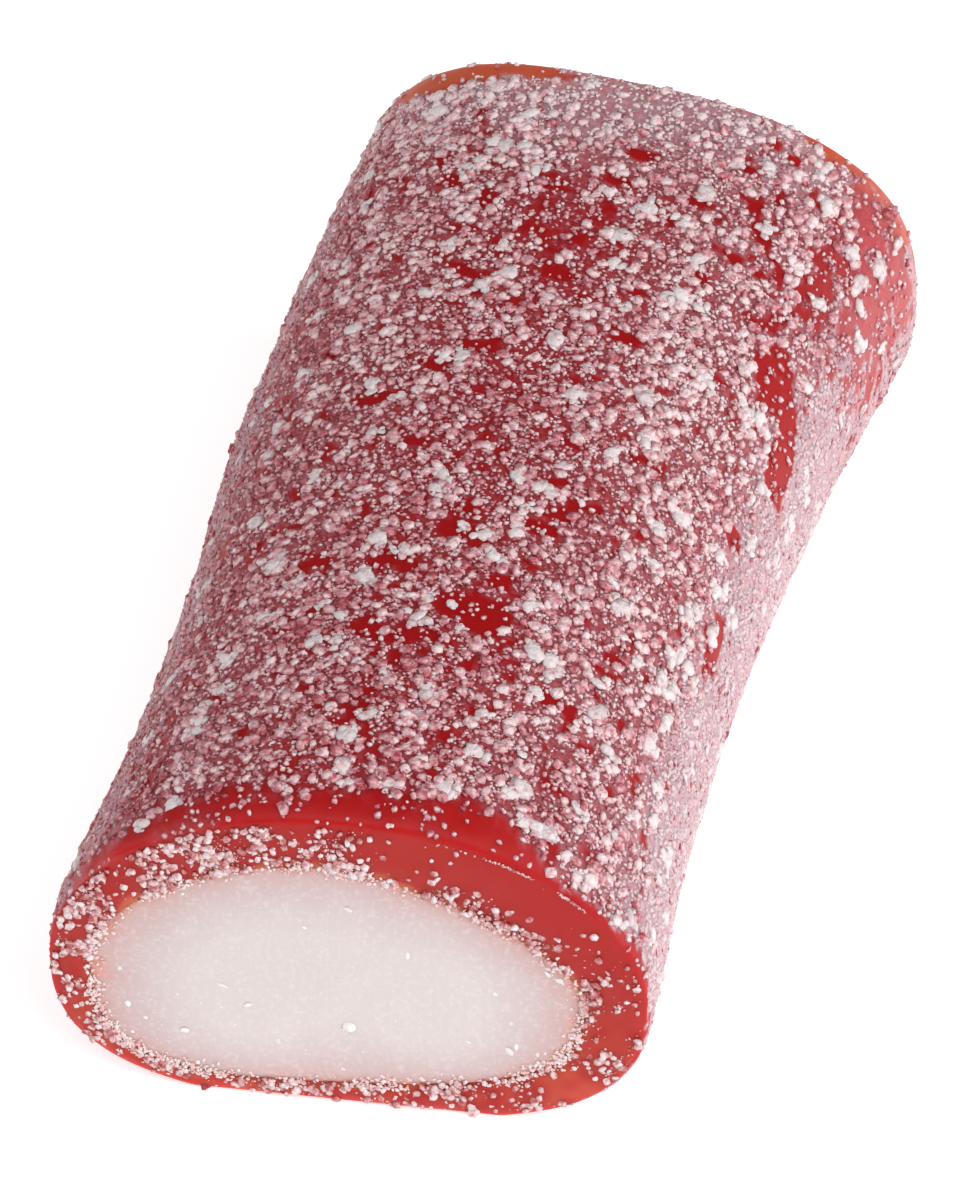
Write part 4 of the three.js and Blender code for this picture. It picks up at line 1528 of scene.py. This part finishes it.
def sugar_material(name, stops, gloss, scale, spread, foot_shade, glint_depth):
    """Base colour = ramp of (tone + spread * veins + foot shade * (rise - 0.6)); stops are
    pairs of a tone and a colour. Gloss is the roughness of the clearest and the cloudiest
    grain, scale the fineness of the veins, and glint depth the depth of the dents in metres."""
    finish, nodes, links, shader = new_material(name)
    shader.inputs["IOR"].default_value = 1.54
    tone_at = node(nodes, "ShaderNodeAttribute", attribute_name="tone")
    rise_at = node(nodes, "ShaderNodeAttribute", attribute_name="rise")
    inside = place_group(nodes, cloudy_and_foot_shade, Scale=scale, Spread=spread, Foot_Shade=foot_shade)
    ramp = node(nodes, "ShaderNodeValToRGB")
    set_ramp(ramp, stops)
    dull = node(nodes, "ShaderNodeMapRange", To_Min=gloss[0], To_Max=gloss[1])
    where = node(nodes, "ShaderNodeTexCoord")
    dents = node(nodes, "ShaderNodeTexNoise", Scale=GLINT_SCALE, Detail=1.0)
    bump = node(nodes, "ShaderNodeBump", Strength=1.0, Distance=glint_depth)
    for start, end in (
        (tone_at.outputs["Fac"], inside.inputs["Tone"]),
        (rise_at.outputs["Fac"], inside.inputs["Rise"]),
        (inside.outputs["Tone"], ramp.inputs["Fac"]),
        (ramp.outputs["Color"], shader.inputs["Base Color"]),
        (tone_at.outputs["Fac"], dull.inputs["Value"]),
        (dull.outputs["Result"], shader.inputs["Roughness"]),
        (where.outputs["Object"], dents.inputs["Vector"]),
        (dents.outputs["Fac"], bump.inputs["Height"]),
        (bump.outputs["Normal"], shader.inputs["Normal"]),
    ):
        links.new(start, end)
    print(f"{name}: {len(stops)} colours")
    return finish


# %% [markdown]
# Single grains are clear enough to show the red, so their ramp starts deep and ends nearly
# white. Frost is scratched and packed, so it is duller, paler and more even.

# %% Grains and frost
clear_finish = sugar_material(
    "clear_sugar",
    [(0.1, (0.37, 0.04, 0.055)), (0.32, (0.48, 0.105, 0.13)), (0.5, (0.58, 0.215, 0.25)),
     (0.68, (0.68, 0.36, 0.385)), (0.85, (0.79, 0.52, 0.54)), (1.0, (0.86, 0.68, 0.69))],
    gloss=(0.22, 0.6), scale=4000.0, spread=0.3, foot_shade=0.6, glint_depth=0.000075,
)
frosted_finish = sugar_material(
    "frosted_sugar",
    [(0.1, (0.45, 0.20, 0.23)), (0.5, (0.63, 0.41, 0.435)), (0.9, (0.73, 0.58, 0.60))],
    gloss=(0.6, 0.8), scale=3500.0, spread=0.15, foot_shade=0.15, glint_depth=0.00004,
)

# %% [markdown]
# On the cuts the grains lie looser and show more of their own white. Crumbs are torn fondant,
# so they are warm and matt, with hardly any glint.

# %% Ring sugar and crumbs
ring_finish = sugar_material(
    "ring_sugar",
    [(0.1, (0.44, 0.08, 0.08)), (0.35, (0.59, 0.25, 0.25)), (0.6, (0.72, 0.47, 0.475)),
     (0.95, (0.84, 0.74, 0.75))],
    gloss=(0.2, 0.5), scale=4000.0, spread=0.4, foot_shade=0.5, glint_depth=0.00004,
)
crumb_finish = sugar_material(
    "fondant_crumbs",
    [(0.1, (0.83, 0.48, 0.44)), (0.4, (0.86, 0.65, 0.64)), (0.8, (0.88, 0.79, 0.79))],
    gloss=(0.45, 0.65), scale=3500.0, spread=0.3, foot_shade=0.2, glint_depth=0.00002,
)

# %% [markdown]
# Caked sugar lets no red through, and neither do the specks, so both stay pale throughout.
# Last, every piece gets its finish.

# %% Lumps and specks
lump_finish = sugar_material(
    "caked_sugar",
    [(0.1, (0.55, 0.36, 0.38)), (0.4, (0.68, 0.55, 0.56)), (0.9, (0.79, 0.70, 0.70))],
    gloss=(0.5, 0.7), scale=4500.0, spread=0.4, foot_shade=0.4, glint_depth=0.00006,
)
speck_finish = sugar_material(
    "fondant_specks",
    [(0.1, (0.78, 0.72, 0.71)), (0.9, (0.90, 0.87, 0.86))],
    gloss=(0.4, 0.6), scale=3000.0, spread=0.3, foot_shade=0.0, glint_depth=0.00001,
)
for things, finish in (
    (skin_sugar, clear_finish), ([frost_sugar], frosted_finish), ([lumps], lump_finish),
    (ring_sugar, ring_finish), (crumbs, crumb_finish), (specks, speck_finish),
):
    for thing in things:
        thing.data.materials.append(finish)

# %% [markdown]
# Table, light and camera.
# The sweet lies on a white table that is far larger than itself, so no edge shows. Plain
# white paper would turn grey away from the lights, so it glows a little as well. The world
# adds an even light from all sides that keeps the shadows soft.

# %% Stage
TABLE_SIZE = 6.0
TABLE_GLOW, WORLD_LIGHT = 0.48, 0.16

bpy.ops.mesh.primitive_plane_add(size=TABLE_SIZE)
table = bpy.context.object
table.name = "table"
table_finish, nodes, links, shader = new_material("table_paper")
shader.inputs["Base Color"].default_value = (0.92, 0.92, 0.92, 1)
shader.inputs["Roughness"].default_value = 0.8
shader.inputs["Emission Color"].default_value = WHITE
shader.inputs["Emission Strength"].default_value = TABLE_GLOW
table.data.materials.append(table_finish)
table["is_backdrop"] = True

scene = bpy.context.scene
scene.view_settings.view_transform = "Standard"
world = bpy.data.worlds.new("studio")
scene.world = world
world.use_nodes = True
world.node_tree.nodes["Background"].inputs["Color"].default_value = WHITE
world.node_tree.nodes["Background"].inputs["Strength"].default_value = WORLD_LIGHT
print("table and world ready")

# %% [markdown]
# Small crystals glint only if a light is large enough to find some of their sides and small
# enough to leave the others dark. Softboxes do both: one from the right and a broad one from
# above the near cut give the shape, and a weaker one from the left opens the shadow side.
# Each is named by its side and aimed at the middle of the sweet.

# %% Lights
LOOK_AT = np.array([0.0, 0.0, 6.58])


def softbox(name, direction, distance, size, power):
    """A rectangular area light that faces the sweet from a direction."""
    light = bpy.data.lights.new(name, "AREA")
    light.shape = "RECTANGLE"
    light.size, light.size_y = size
    light.energy = power
    thing = bpy.data.objects.new(name, light)
    scene.collection.objects.link(thing)
    toward = Vector(direction).normalized()
    thing.location = Vector((LOOK_AT + SHIFT) * MM) + toward * distance
    thing.rotation_euler = toward.to_track_quat("Z", "Y").to_euler()
    return thing


softbox("right_box", (0.90, -0.15, 0.40), 0.5, (0.6, 0.35), 2.1)
softbox("front_box", (0.10, -0.45, 0.88), 0.6, (0.7, 0.4), 1.85)
softbox("left_box", (-0.85, -0.25, 0.50), 0.6, (0.5, 0.35), 0.95)
print("lights:", len(bpy.data.lights))

# %% [markdown]
# A long lens more than a third of a metre away keeps the far end nearly as wide as the near.
# The lens could be turned until the picture fits, but here it follows from how many pixels a
# millimetre of sweet takes at the place looked at. Two shifts put that place on its pixel
# without tilting the camera.

# %% Camera
CAMERA_AZIMUTH, CAMERA_ELEVATION = np.radians(14.39), np.radians(45.0)
CAMERA_DISTANCE = 376.0
FRAME_PIXELS = (966, 1200)
PIXELS_PER_MM = 26.583
LOOK_PIXEL = (482.8, 595.4)
SENSOR = 36.0

back = Vector((
    np.sin(CAMERA_AZIMUTH) * np.cos(CAMERA_ELEVATION),
    -np.cos(CAMERA_AZIMUTH) * np.cos(CAMERA_ELEVATION),
    np.sin(CAMERA_ELEVATION),
))
camera = bpy.data.cameras.new("camera")
camera.sensor_fit = "VERTICAL"
camera.sensor_height = SENSOR
camera.lens = PIXELS_PER_MM * CAMERA_DISTANCE / FRAME_PIXELS[1] * SENSOR
camera.shift_x = (FRAME_PIXELS[0] / 2 - LOOK_PIXEL[0]) / FRAME_PIXELS[1]
camera.shift_y = (LOOK_PIXEL[1] - FRAME_PIXELS[1] / 2) / FRAME_PIXELS[1]
camera.clip_start = 0.01
camera_object = bpy.data.objects.new("camera", camera)
scene.collection.objects.link(camera_object)
camera_object.location = Vector((LOOK_AT + SHIFT) * MM) + back * CAMERA_DISTANCE * MM
camera_object.rotation_euler = back.to_track_quat("Z", "Y").to_euler()
scene.camera = camera_object
print("lens, mm:", round(camera.lens, 1))

# %% [markdown]
# Joining the model to its frame.
# The sweet has one body and no joints. Each piece rides on that body, and the two large ones stand for
# the imported parts that they cover.

# %% Ride and replace
pieces = {
    "gummy": [gummy],
    "fondant": [fondant] + crumbs + specks,
    "sugar": skin_sugar + [frost_sugar, lumps] + ring_sugar,
}
for slot, things in pieces.items():
    for thing in things:
        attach(thing, "root")
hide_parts("gummy_shell")
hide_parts("fondant_core")
print("pieces in each slot:", {slot: len(things) for slot, things in pieces.items()})

# %% [markdown]
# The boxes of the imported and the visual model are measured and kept, because a reader of the
# part wants to know how far the finer surface leaves the solids.

# %% Sizes and the end
visual_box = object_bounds()
for label, box in (("packed", cad_box), ("visual", visual_box)):
    print(label, "box, mm:", [[round(v / MM, 2) for v in corner] for corner in box])
